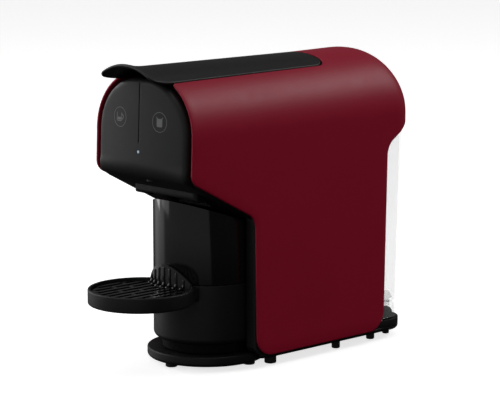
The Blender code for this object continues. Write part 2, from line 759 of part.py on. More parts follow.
# ---- Brew unit ------------------------------------------------------------
def brew_frame():
    boss = 0.0045
    side = rounded(
        [
            (-0.060, 0.1765, 0),
            (0.060, 0.1765, 0.003),
            (HINGE_Y + boss, 0.218, 0.003),
            (HINGE_Y + boss, HINGE_Z + boss, boss - 0.0002),
            (HINGE_Y - boss, HINGE_Z + boss, boss - 0.0002),
            (0.084, 0.2305, 0.003),
            (-0.060, 0.2305, 0),
        ],
        3,
    )
    piece = make_object("brew_frame", prism(side, -FRAME_X - 0.0025, FRAME_X + 0.0025, "X"), GREY)
    cut(piece, "frame_inside_tool", box((-FRAME_X, FRAME_X), (-0.07, 0.12), (0.179, 0.26)))
    cut(piece, "frame_drop_tool", box((-0.022, 0.022), (-0.0455, -0.0125), (0.17, 0.2)))
    cut(piece, "frame_rear_tool", box((-0.017, 0.017), (0.04, 0.12), (0.17, 0.2)))
    cut(piece, "frame_bore_tool", rod(0.0023, -0.04, 0.04, 0.0, HINGE_Y, 16, "X", HINGE_Z))
    cut(piece, "frame_hose_tool", rod(0.0026, 0.02, 0.03, 0.0, -0.0505, 12, "X", BREW_Z + 0.0005))
    cut(piece, "frame_spout_tool", rod(0.0065, 0.17, 0.19, y=SPOUT_Y, steps=16))


def brew_head():
    profile = [(0, -0.0575), (0.012, -0.0575), (0.021, -0.0545), (0.021, -0.0465), (0, -0.0465)]
    make_object("brew_head", turned(profile, 0.0, 0.0, 28, "Y", BREW_Z + 0.0005), GREY)


def needle_plate():
    profile = [(0, -0.0462), (0.0165, -0.0462), (0.0165, -0.0447), (0.002, -0.0447), (0, -0.0415)]
    make_object("needle_plate", turned(profile, 0.0, 0.0, 24, "Y", BREW_Z), STEEL)


def coffee_spout():
    profile = [(0, 0.1572), (0.0055, 0.1572), (0.0058, 0.166), (0.0058, 0.1750), (0, 0.1750)]
    piece = make_object("coffee_spout", turned(profile, 0.0, SPOUT_Y, 20), BLACK)
    cut(piece, "spout_bore_tool", rod(0.0030, 0.15, 0.170, y=SPOUT_Y, steps=12))


def piston():
    front = PISTON_FRONT_Y
    profile = [
        (0, front),
        (0.0175, front),
        (0.0195, front + 0.002),
        (0.0195, front + 0.022),
        (0.017, front + 0.024),
        (0.0085, front + 0.024),
        (0.0085, 0.033),
        (0, 0.033),
    ]
    piece = make_object("piston", turned(profile, 0.0, 0.0, 28, "Y", BREW_Z), GREY, PISTON)
    cut(piece, "piston_bore_tool", rod(0.0023, -0.03, 0.03, 0.0, PISTON_PIN_Y, 16, "X", BREW_Z))


def piston_pin():
    make_object("piston_pin", rod(0.002, -0.0145, 0.0145, 0.0, PISTON_PIN_Y, 12, "X", BREW_Z), STEEL, PISTON)


def link_arm(name, side):
    """A flat link from the piston pin towards the lever's crank pin."""
    start, end = Vector((PISTON_PIN_Y, BREW_Z)), Vector((CRANK_Y, CRANK_Z))
    along = (end - start).normalized()
    across = Vector((-along.y, along.x))
    outline = []
    radius, steps = 0.0045, 8
    for centre, first in ((start, across), (end, -across)):
        for k in range(steps + 1):
            outline.append(tuple(centre + Matrix.Rotation(math.pi * k / steps, 2) @ first * radius))
    low, high = sorted((side * 0.0103, side * 0.0133))
    piece = make_object(name, prism(outline, low, high, "X"), STEEL, LINK)
    bores = [rod(0.0024, -0.03, 0.03, 0.0, y, 12, "X", z) for y, z in (start, end)]
    cut(piece, f"{name}_bore_tool", joined(*bores))


# ---- Water path and electrics ---------------------------------------------
def tube(name, points, radius, material):
    """A hose through its points, laid out smoothly."""
    curve = bpy.data.curves.new(name, "CURVE")
    curve.dimensions = "3D"
    curve.bevel_depth = radius
    curve.bevel_resolution = 2
    curve.use_fill_caps = True
    spline = curve.splines.new("POLY")
    route = smooth_route([Vector(p) for p in points], 5)
    spline.points.add(len(route) - 1)
    for target, point in zip(spline.points, route):
        target.co = (*point, 1.0)
    curve.materials.append(material)
    piece = bpy.data.objects.new(name, curve)
    bpy.context.scene.collection.objects.link(piece)
    piece.parent = MACHINE


def smooth_route(points, steps):
    """Catmull-Rom points through a route."""
    padded = [points[0] * 2 - points[1]] + points + [points[-1] * 2 - points[-2]]
    route = []
    for a, b, c, d in zip(padded, padded[1:], padded[2:], padded[3:]):
        for k in range(steps):
            t = k / steps
            route.append(
                0.5
                * (
                    b * 2
                    + (c - a) * t
                    + (a * 2 - b * 5 + c * 4 - d) * t**2
                    + (b * 3 - a - c * 3 + d) * t**3
                )
            )
    route.append(points[-1])
    return route


def vibration_pump():
    x, y = -0.024, 0.086
    profile = [
        (0, 0.0385),
        (0.006, 0.0385),
        (0.006, 0.047),
        (0.015, 0.050),
        (0.017, 0.053),
        (0.017, 0.107),
        (0.015, 0.110),
        (0.009, 0.112),
        (0.009, 0.128),
        (0.004, 0.130),
        (0.004, 0.139),
        (0, 0.139),
    ]
    make_object("vibration_pump", turned(profile, x, y, 24), STEEL)
    for name, low, inner in (("pump_mount_lower", 0.0392, 0.0064), ("pump_mount_upper", 0.1145, 0.0094)):
        ring = [(inner, low), (0.0165, low), (0.0165, low + 0.007), (inner, low + 0.007)]
        make_object(name, turned(ring, x, y, 20), RUBBER)


def pump_coil():
    profile = [(0.0173, 0.058), (0.0215, 0.058), (0.0215, 0.100), (0.0173, 0.100)]
    make_object("pump_coil", turned(profile, -0.024, 0.086, 24), COPPER)


def thermoblock():
    plan = rounded_plan(0.020, (-0.015, 0.015), 0.004, 0.004, 3)
    moved = [(x + 0.026, y + 0.086) for x, y in plan]
    make_object("thermoblock", prism(moved, 0.082, 0.158, "Z"), ALUMINIUM)


def flow_meter():
    profile = [(0, 0.030), (0.014, 0.030), (0.014, 0.046), (0.005, 0.047), (0.005, 0.053), (0, 0.053)]
    make_object("flow_meter", turned(profile, 0.028, 0.086, 20), GREY)


def hoses():
    tube(
        "hose_tank",
        [(0.0405, 0.1690, 0.0130), (0.0395, 0.160, 0.0130), (0.034, 0.140, 0.0130), (0.0295, 0.122, 0.0133),
         (0.028, 0.108, 0.0138), (0.028, 0.096, 0.0165), (0.028, 0.0885, 0.0205), (0.028, 0.086, 0.0255),
         (0.028, 0.086, 0.0296)],
        0.0025,
        CLEAR,
    )
    tube(
        "hose_pump",
        [(0.028, 0.086, 0.0534), (0.028, 0.086, 0.058), (0.020, 0.080, 0.066), (0.004, 0.068, 0.050),
         (-0.014, 0.074, 0.026), (-0.0225, 0.085, 0.0255), (-0.024, 0.086, 0.0318), (-0.024, 0.086, 0.0381)],
        0.0025,
        CLEAR,
    )
    tube(
        "hose_pressure",
        [(-0.024, 0.086, 0.1394), (-0.023, 0.086, 0.150), (-0.014, 0.086, 0.170), (0.004, 0.086, 0.180),
         (0.017, 0.086, 0.174), (0.020, 0.086, 0.165), (0.020, 0.086, 0.1584)],
        0.0022,
        WHITE,
    )
    tube(
        "hose_brew",
        [(0.034, 0.086, 0.1584), (0.0345, 0.085, 0.168), (0.040, 0.064, 0.188), (0.042, 0.020, 0.198),
         (0.041, -0.020, 0.2005), (0.036, -0.044, 0.2005), (0.0285, -0.0505, 0.2005), (0.0214, -0.0505, 0.2005)],
        0.0018,
        WHITE,
    )


def boards():
    board = box((-0.038, 0.038), (-0.0662, -0.0646), (0.172, 0.222))
    make_object("control_board", board, GREEN)
    for name, side in (("switch_left", -1), ("switch_right", 1)):
        x = side * ICON_X
        body = box((x - 0.003, x + 0.003), (-0.0694, -0.0665), (ICON_Z - 0.003, ICON_Z + 0.003))
        piece = make_object(name, body, GREY)
        add(piece, f"{name}_plunger_tool", rod(0.0015, -0.0702, -0.068, x, 0.0, 12, "Y", ICON_Z))
    power = box((-0.036, 0.036), (0.1120, 0.1136), (0.060, 0.150))
    make_object("power_board", power, GREEN)


# ---- Water tank -----------------------------------------------------------
def tank_form(inset, low, high):
    """The tank's tapered outer form, moved in by an inset, between two heights."""
    rings = []
    for z in (low, high):
        t = (z - TANK_BOTTOM_Z) / (TANK_TOP_Z - TANK_BOTTOM_Z)
        width = TANK_HALF_WIDTH + (TANK_TOP_HALF_WIDTH - TANK_HALF_WIDTH) * t
        rear = TANK_REAR_Y + (TANK_TOP_REAR_Y - TANK_REAR_Y) * t
        plan = rounded_plan(
            width - inset, (TANK_FRONT_Y + inset, rear - inset), 0.006 - inset, 0.025 - 0.002 * t - inset, 6
        )
        rings.append([(x, y, z) for x, y in plan])
    return loft(rings)


def tank_side(top, below):
    rise = TANK_TOP_SLOPE * (TANK_REAR_Y - TANK_FRONT_Y)
    return [(TANK_FRONT_Y - 0.01, below), (0.2, below), (0.2, top + 0.0021), (TANK_FRONT_Y - 0.01, top - rise - 0.0018)]


def water_tank():
    piece = make_object("water_tank", tank_form(0, TANK_BOTTOM_Z, 0.19), CLEAR, TANK)
    keep(piece, "tank_top_tool", prism(tank_side(TANK_TOP_Z, 0.0), -0.06, 0.06, "X"))
    cut(piece, "tank_inside_tool", tank_form(TANK_WALL, TANK_FLOOR_Z + 0.002, 0.2))
    cut(piece, "tank_skirt_tool", tank_form(TANK_WALL, 0.0, TANK_FLOOR_Z))
    cut(piece, "tank_valve_hole_tool", rod(0.0036, 0.02, 0.04, VALVE_X, VALVE_Y, 16))


def tank_lid():
    piece = make_object("tank_lid", tank_form(0, 0.16, 0.2), BLACK, TANK)
    keep(piece, "lid_top_tool", prism(tank_side(TANK_TOP_Z + 0.0023, 0.1), -0.06, 0.06, "X"))
    cut(piece, "lid_under_tool", prism(tank_side(TANK_TOP_Z + 0.0003, 0.1), -0.07, 0.07, "X"))


def tank_valve():
    low = TANK_FLOOR_Z + 0.0045
    profile = [
        (0, 0.0252),
        (0.0030, 0.0252),
        (0.0030, low),
        (0.0052, low),
        (0.0052, low + 0.0025),
        (0.0030, low + 0.006),
        (0, low + 0.006),
    ]
    make_object("tank_valve", turned(profile, VALVE_X, VALVE_Y, 16), WHITE, VALVE)


def tank_coupler():
    """Domed socket on the base that opens the tank's valve."""
    profile = [(0, 0.0098), (COUPLER_RADIUS, 0.0098), (COUPLER_RADIUS, 0.0190)]
    for k in range(1, 5):
        angle = math.pi / 2 * k / 5
        profile.append((COUPLER_RADIUS * math.cos(angle), 0.0190 + 0.0058 * math.sin(angle)))
    profile.append((0, 0.0248))
    make_object("tank_coupler", turned(profile, VALVE_X, VALVE_Y, 20), BLACK)


# ---- Materials and assembly -----------------------------------------------
clear_scene()
RED = make_material("red_casing", (0.105, 0.006, 0.014), 0.45)
BLACK = make_material("black_moulding", (0.018, 0.018, 0.018), 0.5)
SMOKED = make_material("smoked_bin", (0.030, 0.028, 0.027), 0.12)
CLEAR = make_material("clear_plastic", (0.85, 0.87, 0.88), 0.08, alpha=0.35)
RUBBER = make_material("rubber", (0.02, 0.02, 0.02), 0.85)
STEEL = make_material("steel", (0.55, 0.55, 0.56), 0.3, 1.0)
ALUMINIUM = make_material("cast_aluminium", (0.62, 0.63, 0.64), 0.5, 1.0)
COPPER = make_material("copper_coil", (0.55, 0.25, 0.12), 0.4, 1.0)
GREY = make_material("grey_moulding", (0.20, 0.20, 0.21), 0.5)
WHITE = make_material("white_plastic", (0.75, 0.75, 0.73), 0.4)
GREEN = make_material("circuit_board", (0.02, 0.12, 0.05), 0.4)

MACHINE = make_empty("machine", (0.0, COLUMN_Y, 0.0))
LEVER = make_empty("lever_pivot", (0.0, HINGE_Y, HINGE_Z), MACHINE)
LINK = make_empty("link_pivot", (0.0, PISTON_PIN_Y, BREW_Z), MACHINE)
PISTON = make_empty("piston_guide", (0.0, PISTON_FRONT_Y, BREW_Z), MACHINE)
BUTTONS = make_empty("button_pivot", (0.0, face_y(SLIT_BOTTOM_Z), SLIT_BOTTOM_Z), MACHINE)
DRAWER = make_empty("drawer_guide", (0.0, 0.0, CONTAINER_BOTTOM_Z), MACHINE)
TRAY = make_empty("tray_guide", (0.0, TRAY_Y, TRAY_BOTTOM_Z), MACHINE)
GRID = make_empty("grid_guide", (0.0, TRAY_Y, GRID_TOP_Z), MACHINE)
TANK = make_empty("tank_pivot", (0.0, TANK_HINGE_Y, TANK_HINGE_Z), MACHINE)
VALVE = make_empty("valve_guide", (VALVE_X, VALVE_Y, TANK_FLOOR_Z), MACHINE)

outer_shell()
front_housing()
button("button_left", -1, BUTTONS)
button("button_right", 1, BUTTONS)
light_guide()
chassis()
base_plate()
base_disc()
pedestal()
feet()
base_screws()
cord_gland()
drip_container()
capsule_bin()
cup_tray()
tray_grid()
lever()
lever_bracket()
lever_axle()
capsule_port()
brew_frame()
brew_head()
needle_plate()
coffee_spout()
piston()
piston_pin()
link_arm("link_left", -1)
link_arm("link_right", 1)
vibration_pump()
pump_coil()
thermoblock()
flow_meter()
hoses()
boards()
water_tank()
tank_lid()
tank_valve()
tank_coupler()
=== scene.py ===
# %% [markdown]
# A slim pod coffee machine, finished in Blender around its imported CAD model.
# The CAD model fixes every size and every joint. Here each visible part gets its
# fine surface, its rounded lips and its finish.

# %% Load the frame
import math

import bmesh
import bpy
import numpy as np
from mathutils import Matrix, Vector
from mathutils.geometry import delaunay_2d_cdt


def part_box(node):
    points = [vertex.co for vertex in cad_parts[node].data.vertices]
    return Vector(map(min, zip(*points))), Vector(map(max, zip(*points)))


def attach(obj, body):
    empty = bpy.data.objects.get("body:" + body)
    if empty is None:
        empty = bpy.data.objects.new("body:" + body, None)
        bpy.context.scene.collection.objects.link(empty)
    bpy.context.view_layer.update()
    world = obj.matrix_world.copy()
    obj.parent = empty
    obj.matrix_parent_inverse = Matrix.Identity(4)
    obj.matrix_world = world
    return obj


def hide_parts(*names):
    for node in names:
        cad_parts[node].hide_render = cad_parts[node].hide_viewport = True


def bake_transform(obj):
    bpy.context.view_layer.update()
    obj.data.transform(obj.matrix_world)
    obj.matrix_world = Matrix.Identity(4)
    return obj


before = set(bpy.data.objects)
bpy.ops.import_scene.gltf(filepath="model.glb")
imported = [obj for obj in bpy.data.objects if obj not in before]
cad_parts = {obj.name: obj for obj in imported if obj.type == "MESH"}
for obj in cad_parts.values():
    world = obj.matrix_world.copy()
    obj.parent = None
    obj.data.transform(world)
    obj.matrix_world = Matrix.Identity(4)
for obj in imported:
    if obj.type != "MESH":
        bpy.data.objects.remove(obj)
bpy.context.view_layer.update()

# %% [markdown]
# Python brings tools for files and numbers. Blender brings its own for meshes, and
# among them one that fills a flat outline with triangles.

# %% [markdown]
# Everything is drawn in the machine's own frame, whose upright axis is the axis
# of the round column. The pedestal stands on that axis, so its middle says where
# the axis is in the shared frame.

# %% Where the column stands
def middle(node):
    low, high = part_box(node)
    return (low + high) / 2


COLUMN_Y = middle("pedestal").y

# %% [markdown]
# Two functions turn points and faces into a finished piece. The first welds and
# orients the mesh and shades it smooth up to an angle. The second gives it its
# material, ties it to the CAD body that it moves with where that body is named,
# and hides the CAD node that it stands for.

# %% Make a piece
def new_object(name, shape, angle=35):
    points, faces = shape
    mesh = bpy.data.meshes.new(name)
    mesh.from_pydata([(p[0], p[1] + COLUMN_Y, p[2]) for p in points], [], faces)
    work = bmesh.new()
    work.from_mesh(mesh)
    bmesh.ops.remove_doubles(work, verts=work.verts, dist=1e-6)
    bmesh.ops.recalc_face_normals(work, faces=work.faces)
    work.to_mesh(mesh)
    work.free()
    mesh.shade_smooth()
    mesh.set_sharp_from_angle(angle=math.radians(angle))
    made = bpy.data.objects.new(name, mesh)
    bpy.context.scene.collection.objects.link(made)
    return made


def settle(made, material, body, nodes=()):
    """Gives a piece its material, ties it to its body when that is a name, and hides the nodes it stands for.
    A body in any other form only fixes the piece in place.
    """
    made.data.materials.clear()
    made.data.materials.append(material)
    if isinstance(body, str):
        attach(made, body)
    else:
        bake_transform(made)
    if nodes:
        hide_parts(*nodes)
    print(f"{made.name}: {len(made.data.polygons)} faces")
    return made


# %% [markdown]
# Most hard parts are drawn as a simple solid first and then cut. Booleans are
# applied at once, so that the bevel that follows works on the final edges. The
# bevel is what catches the light along every moulded edge.

# %% Cut, join and soften
def apply_modifiers(made):
    bpy.context.view_layer.update()
    graph = bpy.context.evaluated_depsgraph_get()
    mesh = bpy.data.meshes.new_from_object(made.evaluated_get(graph))
    made.modifiers.clear()
    made.data = mesh


def combine(made, shape, operation="DIFFERENCE"):
    tool = shape if isinstance(shape, bpy.types.Object) else new_object("tool", shape)
    modifier = made.modifiers.new("cut", "BOOLEAN")
    modifier.operation = operation
    modifier.solver = "EXACT"
    modifier.object = tool
    apply_modifiers(made)
    bpy.data.objects.remove(tool)
    return made


def keep(made, shape):
    return combine(made, shape, "INTERSECT")


def add(made, shape):
    return combine(made, shape, "UNION")


def soften(made, width, segments=3, angle=38, keep_live=False):
    """Rounds every sharp edge and shades the rest smooth."""
    modifier = made.modifiers.new("soft_edges", "BEVEL")
    modifier.width = width
    modifier.segments = segments
    modifier.limit_method = "ANGLE"
    modifier.angle_limit = math.radians(angle)
    modifier.harden_normals = False
    if keep_live:
        return made
    apply_modifiers(made)
    made.data.shade_smooth()
    made.data.set_sharp_from_angle(angle=math.radians(32))
    return made


# %% [markdown]
# The drawing tools: a skin lofted through rings, an outline pushed along an axis,
# a profile turned about an axis, and an outline whose corners become arcs.

# %% Loft, prism, turning, rounded outline
def joined(*shapes):
    points, faces = [], []
    for more_points, more_faces in shapes:
        start = len(points)
        points += list(more_points)
        faces += [tuple(start + i for i in face) for face in more_faces]
    return points, faces


def loft(rings):
    count = len(rings[0])
    points = [p for ring in rings for p in ring]
    faces = []
    for k in range(len(rings) - 1):
        for i in range(count):
            j = (i + 1) % count
            faces.append((k * count + i, k * count + j, (k + 1) * count + j, (k + 1) * count + i))
    last = (len(rings) - 1) * count
    return points, faces + [tuple(range(count)), tuple(last + i for i in range(count))]


ORDER = {"X": lambda a, b, c: (c, a, b), "Y": lambda a, b, c: (a, c, b), "Z": lambda a, b, c: (a, b, c)}


def prism(outline, low, high, axis):
    return loft([[ORDER[axis](a, b, level) for a, b in outline] for level in (low, high)])


def box(x, y, z):
    return prism([(x[0], y[0]), (x[1], y[0]), (x[1], y[1]), (x[0], y[1])], *z, "Z")


def turned(profile, x=0.0, y=0.0, z=0.0, steps=96, axis="Z"):
    """A closed (radius, height) profile turned about an axis."""
    points, faces = [], []
    count = len(profile)
    for k in range(steps):
        turn = math.tau * k / steps
        for radius, height in profile:
            a, b = radius * math.cos(turn), radius * math.sin(turn)
            points.append({"Z": (x + a, y + b, z + height), "Y": (x + a, y + height, z + b)}[axis])
    for k in range(steps):
        ahead = (k + 1) % steps
        for i in range(count):
            j = (i + 1) % count
            faces.append((k * count + i, k * count + j, ahead * count + j, ahead * count + i))
    return points, faces


def rod(radius, low, high, x=0.0, y=0.0, z=0.0, steps=48, axis="Z"):
    return turned([(0, low), (radius, low), (radius, high), (0, high)], x, y, z, steps, axis)


def rounded(corners, steps=10):
    """An outline of (a, b, radius) corners, each turned into an arc."""
    outline = []
    for i, (a, b, radius) in enumerate(corners):
        here = Vector((a, b))
        if not radius:
            outline.append((a, b))
            continue
        before = (Vector(corners[i - 1][:2]) - here).normalized()
        after = (Vector(corners[(i + 1) % len(corners)][:2]) - here).normalized()
        half = before.angle(after) / 2
        centre = here + (before + after).normalized() * radius / math.sin(half)
        start = here + before * radius / math.tan(half) - centre
        turn = 1 if before.x * after.y - before.y * after.x < 0 else -1
        for k in range(steps + 1):
            swing = turn * (math.pi - 2 * half) * k / steps
            outline.append(tuple(centre + Matrix.Rotation(swing, 2) @ start))
    return outline


def plan(x, y, front, rear, steps=10):
    """A rectangle across the machine with its own front and rear corner radius."""
    return rounded([(-x, y[0], front), (x, y[0], front), (x, y[1], rear), (-x, y[1], rear)], steps)


# %% [markdown]
# A moulded wall has two skins and a rounded rim. The wall is drawn flat, as an
# outline on a sheet. The sheet is filled with a fine net of triangles, and two
# functions carry the net to the outer and the inner skin. Along the outline the
# skins are joined by a half round, as a mould leaves it. A Boolean and a bevel
# would leave slivers on a double-curved shell, and this way leaves none.

# %% Fill a flat outline with a net
def area_of(outline):
    return sum(a[0] * b[1] - b[0] * a[1] for a, b in zip(outline, outline[1:] + outline[:1])) / 2


def distances(points, loop):
    """Distance from each point to a closed loop, and whether it lies inside."""
    points, a = np.array(points, float), np.array(loop, float)
    b = np.roll(a, -1, axis=0)
    nearest = np.full(len(points), 1e9)
    inside = np.zeros(len(points), bool)
    for p, q in zip(a, b):
        along = q - p
        share = np.clip(((points - p) @ along) / max(along @ along, 1e-18), 0, 1)
        nearest = np.minimum(nearest, np.linalg.norm(points - p - share[:, None] * along, axis=1))
        if p[1] != q[1]:
            crosses = (p[1] > points[:, 1]) != (q[1] > points[:, 1])
            inside ^= crosses & (points[:, 0] < along[0] * (points[:, 1] - p[1]) / along[1] + p[0])
    return nearest, inside


def moved_in(outline, depth):
    """The outline moved inwards, point by point, along its own normal."""
    points = np.array(outline, float)
    ahead, behind = np.roll(points, -1, axis=0) - points, points - np.roll(points, 1, axis=0)
    ahead /= np.linalg.norm(ahead, axis=1)[:, None]
    behind /= np.linalg.norm(behind, axis=1)[:, None]
    along = ahead + behind
    along /= np.linalg.norm(along, axis=1)[:, None]
    inward = np.stack([-along[:, 1], along[:, 0]], axis=1) * np.sign(area_of(outline))
    return [tuple(p) for p in points + inward * depth]


def net(outline, spacing, bands=()):
    """Points and triangles that fill an outline. The outline's own points come first.

    bands are depths at which rows of points follow the outline, for a rounded edge.
    """
    spacing = spacing if callable(spacing) else (lambda a, b, value=spacing: value)
    points = list(outline)
    for depth in bands:
        row = moved_in(outline, depth)
        far, inside = distances(row, outline)
        points += [p for p, d, i in zip(row, far, inside) if i and d > 0.93 * depth]
    low, high = np.min(outline, axis=0), np.max(outline, axis=0)
    fill, b, odd = [], low[1], 0
    while b < high[1]:
        a = low[0] + (0.5 if odd else 0.0) * spacing(low[0], b)
        while a < high[0]:
            fill.append((a, b))
            a += spacing(a, b)
        b += 0.866 * spacing((low[0] + high[0]) / 2, b)
        odd = 1 - odd
    far, inside = distances(fill, outline)
    margin = max(bands, default=0)
    points += [p for p, d, i in zip(fill, far, inside) if i and d > margin + 0.5 * spacing(*p)]
    count = len(outline)
    edges = [(i, (i + 1) % count) for i in range(count)]
    found = delaunay_2d_cdt([Vector(p) for p in points], edges, [list(range(count))], 1, 1e-8)
    places, _, triangles, origins = found[:4]
    order = {}
    for new, old in enumerate(origins):
        for index in old:
            order.setdefault(index, new)
    return [tuple(p) for p in places], [tuple(t) for t in triangles], [order[i] for i in range(count)]


# %% [markdown]
# The net is now carried to both skins. Rows of points between the skins turn from
# the outer one to the inner one about the wall's middle, and they make the rim.

# %% Carry the net to two skins and round the rim
def wall(outline, spacing, outer, inner, bands=(), rim=6):
    places, triangles, border = net(outline, spacing, bands)
    top = [Vector(outer(*p)) for p in places]
    under = [Vector(inner(*p)) for p in places]
    size = len(places)
    points = top + under
    faces = list(triangles) + [tuple(size + i for i in reversed(t)) for t in triangles]
    count = len(border)
    outward = [Vector(a) - Vector(b) for a, b in zip(outline, moved_in(outline, 1e-4))]
    rows = [border]
    for k in range(1, rim):
        turn = math.pi * k / rim
        row = []
        for i, vertex in enumerate(border):
            a, b = places[vertex]
            across = (top[vertex] - under[vertex]) / 2
            step = outward[i]
            away = Vector(outer(a + step.x, b + step.y)) - top[vertex]
            away -= across * (away.dot(across) / max(across.dot(across), 1e-18))
            ahead = top[border[(i + 1) % count]] - top[border[i - 1]]
            away -= ahead * (away.dot(ahead) / max(ahead.dot(ahead), 1e-18))
            away.normalize()
            row.append(len(points))
            centre = (top[vertex] + under[vertex]) / 2
            points.append(centre + across * math.cos(turn) + away * across.length * math.sin(turn))
        rows.append(row)
    rows.append([size + i for i in border])
    for first, second in zip(rows, rows[1:]):
        for i in range(count):
            j = (i + 1) % count
            faces.append((first[i], first[j], second[j], second[i]))
    return points, faces


# %% [markdown]
# Finishes. Every material is made of nodes, so it has no picture behind it. A
# slow noise shifts the colour a little, a middle one varies the roughness as
# handling does, and a fine one raises the grain of the mould. Values that are the
# same all over sit on the shader's own sockets.

# %% One maker for all the finishes
SATIN, DULL = {"Specular IOR Level": 0.42}, {"Specular IOR Level": 0.15}


def finish(name, colour, roughness, shade=0.08, spread=0.04, grain=2600, height=0.00002, **sockets):
    """A material whose noises shift the colour by a share, the roughness by a spread,
    and raise a grain of the given scale and height in metres."""
    material = bpy.data.materials.new(name)
    material.use_nodes = True
    nodes, links = material.node_tree.nodes, material.node_tree.links
    shader = nodes["Principled BSDF"]
    place = nodes.new("ShaderNodeTexCoord").outputs["Object"]

    def noise(scale, detail):
        texture = nodes.new("ShaderNodeTexNoise")
        texture.inputs["Scale"].default_value = scale
        texture.inputs["Detail"].default_value = detail
        links.new(place, texture.inputs["Vector"])
        return texture.outputs["Fac"]

    tint = nodes.new("ShaderNodeMix")
    tint.data_type = "RGBA"
    tint.inputs["A"].default_value = (*[c * (1 - shade) for c in colour], 1)
    tint.inputs["B"].default_value = (*[c * (1 + shade) for c in colour], 1)
    links.new(noise(18, 3), tint.inputs["Factor"])
    links.new(tint.outputs["Result"], shader.inputs["Base Color"])
    rub = nodes.new("ShaderNodeMapRange")
    rub.inputs["From Min"].default_value = 0.3
    rub.inputs["From Max"].default_value = 0.7
    rub.inputs["To Min"].default_value = roughness - spread
    rub.inputs["To Max"].default_value = roughness + spread
    links.new(noise(130, 4), rub.inputs["Value"])
    links.new(rub.outputs["Result"], shader.inputs["Roughness"])
    relief = nodes.new("ShaderNodeBump")
    relief.inputs["Strength"].default_value = 0.6
    relief.inputs["Distance"].default_value = height
    links.new(noise(grain, 2), relief.inputs["Height"])
    links.new(relief.outputs["Normal"], shader.inputs["Normal"])
    for socket, value in sockets.items():
        shader.inputs[socket.replace("_", " ")].default_value = value
    return material


# %% [markdown]
# The casing is a soft-touch burgundy: a deep red with a rough skin, so that its
# highlights are wide and faint. The black mouldings share one dark base and differ
# in how rough their moulds were. A still darker, duller black on the neck is
# painted shade. Other plastics, metals and prints follow.

# %% Hard finishes
RED = finish("burgundy_soft_touch", (0.330, 0.0040, 0.0260), 0.46, 0.05, 0.03, 3200, 0.00003, **SATIN)
BLACK = finish("black_satin", (0.0065, 0.0065, 0.0067), 0.50, 0.10, 0.04, 3000, 0.00003, **SATIN)
FACE = finish("black_face", (0.0120, 0.0120, 0.0122), 0.50, 0.06, 0.03, 3400, 0.00002, **SATIN)
LEVER = finish("black_lever", (0.0070, 0.0070, 0.0072), 0.48, 0.08, 0.04, 3000, 0.00002, **SATIN)
GLOSS = finish("smoked_gloss", (0.0055, 0.0052, 0.0052), 0.10, 0.12, 0.03, 900, 0.000003)
GRATE = finish("black_polished_grate", (0.0080, 0.0080, 0.0080), 0.16, 0.10, 0.05, 1500, 0.00001)
# Darker and duller than the other blacks: painted shade for the neck, which stands in shadow under the drip
# container.
PAINTED_SHADE_BLACK = finish("painted_shade_black", (0.0035, 0.0035, 0.0035), 0.85, 0.12, 0.05, 1800, 0.00004, **DULL)
RUBBER = finish("black_rubber", (0.0120, 0.0120, 0.0120), 0.72, 0.12, 0.05, 1800, 0.00004)
GREY = finish("glass_filled_grey", (0.135, 0.137, 0.142), 0.50, 0.10, 0.06, 1700, 0.00004)
WHITE = finish("white_moulding", (0.62, 0.62, 0.60), 0.38, 0.03, 0.05, 1500, 0.00002)
STEEL = finish("plain_steel", (0.42, 0.42, 0.43), 0.30, 0.08, 0.08, 1400, 0.00001, Metallic=1.0)
ALLOY = finish("blasted_alloy", (0.40, 0.41, 0.42), 0.48, 0.08, 0.07, 2400, 0.00005, Metallic=1.0)
PRINT = finish("grey_print", (0.150, 0.153, 0.158), 0.50, 0.04, 0.03, 2600, 0.00001)


# %% [markdown]
# The tank is clear moulded plastic with thin walls, so what stands behind is seen
# without bending. Alpha does that, and each wall adds only a trace of grey. The
# valve in its floor is frosted. The hoses are softer and more milky.

# %% Clear plastics
CLEAR = finish("clear_tank", (0.80, 0.82, 0.84), 0.08, 0.01, 0.03, 60, 0.00002, Alpha=0.10)
FROST = finish("frosted_valve", (0.82, 0.84, 0.84), 0.35, 0.03, 0.05, 1500, 0.00002, Alpha=0.22)
MILKY = finish("milky_hose", (0.78, 0.80, 0.80), 0.32, 0.03, 0.05, 300, 0.00002, Transmission_Weight=0.6)


# %% [markdown]
# The pump's coil is one enamelled wire wound round and round, so its finish is a
# fine band pattern along the pump. A circuit board has a green mask with paler
# tracks under it, which a cell pattern suggests.

# %% Wound copper and circuit board
def patterned(material, texture_type, scale, low, high, **settings):
    """Puts a two-colour pattern in place of the material's even colour."""
    nodes, links = material.node_tree.nodes, material.node_tree.links
    place = next(n for n in nodes if n.type == "TEX_COORD").outputs["Object"]
    texture = nodes.new(texture_type)
    texture.inputs["Scale"].default_value = scale
    for key, value in settings.items():
        setattr(texture, key, value)
    links.new(place, texture.inputs["Vector"])
    output = texture.outputs.get("Fac") or texture.outputs["Distance"]
    ramp = nodes.new("ShaderNodeValToRGB")
    ramp.color_ramp.elements[0].color = (*low, 1)
    ramp.color_ramp.elements[1].color = (*high, 1)
    ramp.color_ramp.elements[0].position = 0.35
    ramp.color_ramp.elements[1].position = 0.6
    links.new(output, ramp.inputs["Fac"])
    links.new(ramp.outputs["Color"], nodes["Principled BSDF"].inputs["Base Color"])
    return material


COPPER = patterned(
    finish("wound_copper", (0.45, 0.16, 0.06), 0.35, Metallic=1.0),
    "ShaderNodeTexWave", 420, (0.16, 0.05, 0.02), (0.50, 0.19, 0.08), bands_direction="Z",
)
BOARD = patterned(
    finish("green_board", (0.01, 0.10, 0.04), 0.35),
    "ShaderNodeTexVoronoi", 260, (0.030, 0.170, 0.080), (0.006, 0.070, 0.030), distance="MANHATTAN",
)

# %% [markdown]
# The casing's form: straight sides, a superellipse arch over them, and a dome at
# the rear. Its widest and rearmost places come from the CAD node, and the powers
# set how square or round each curve is.

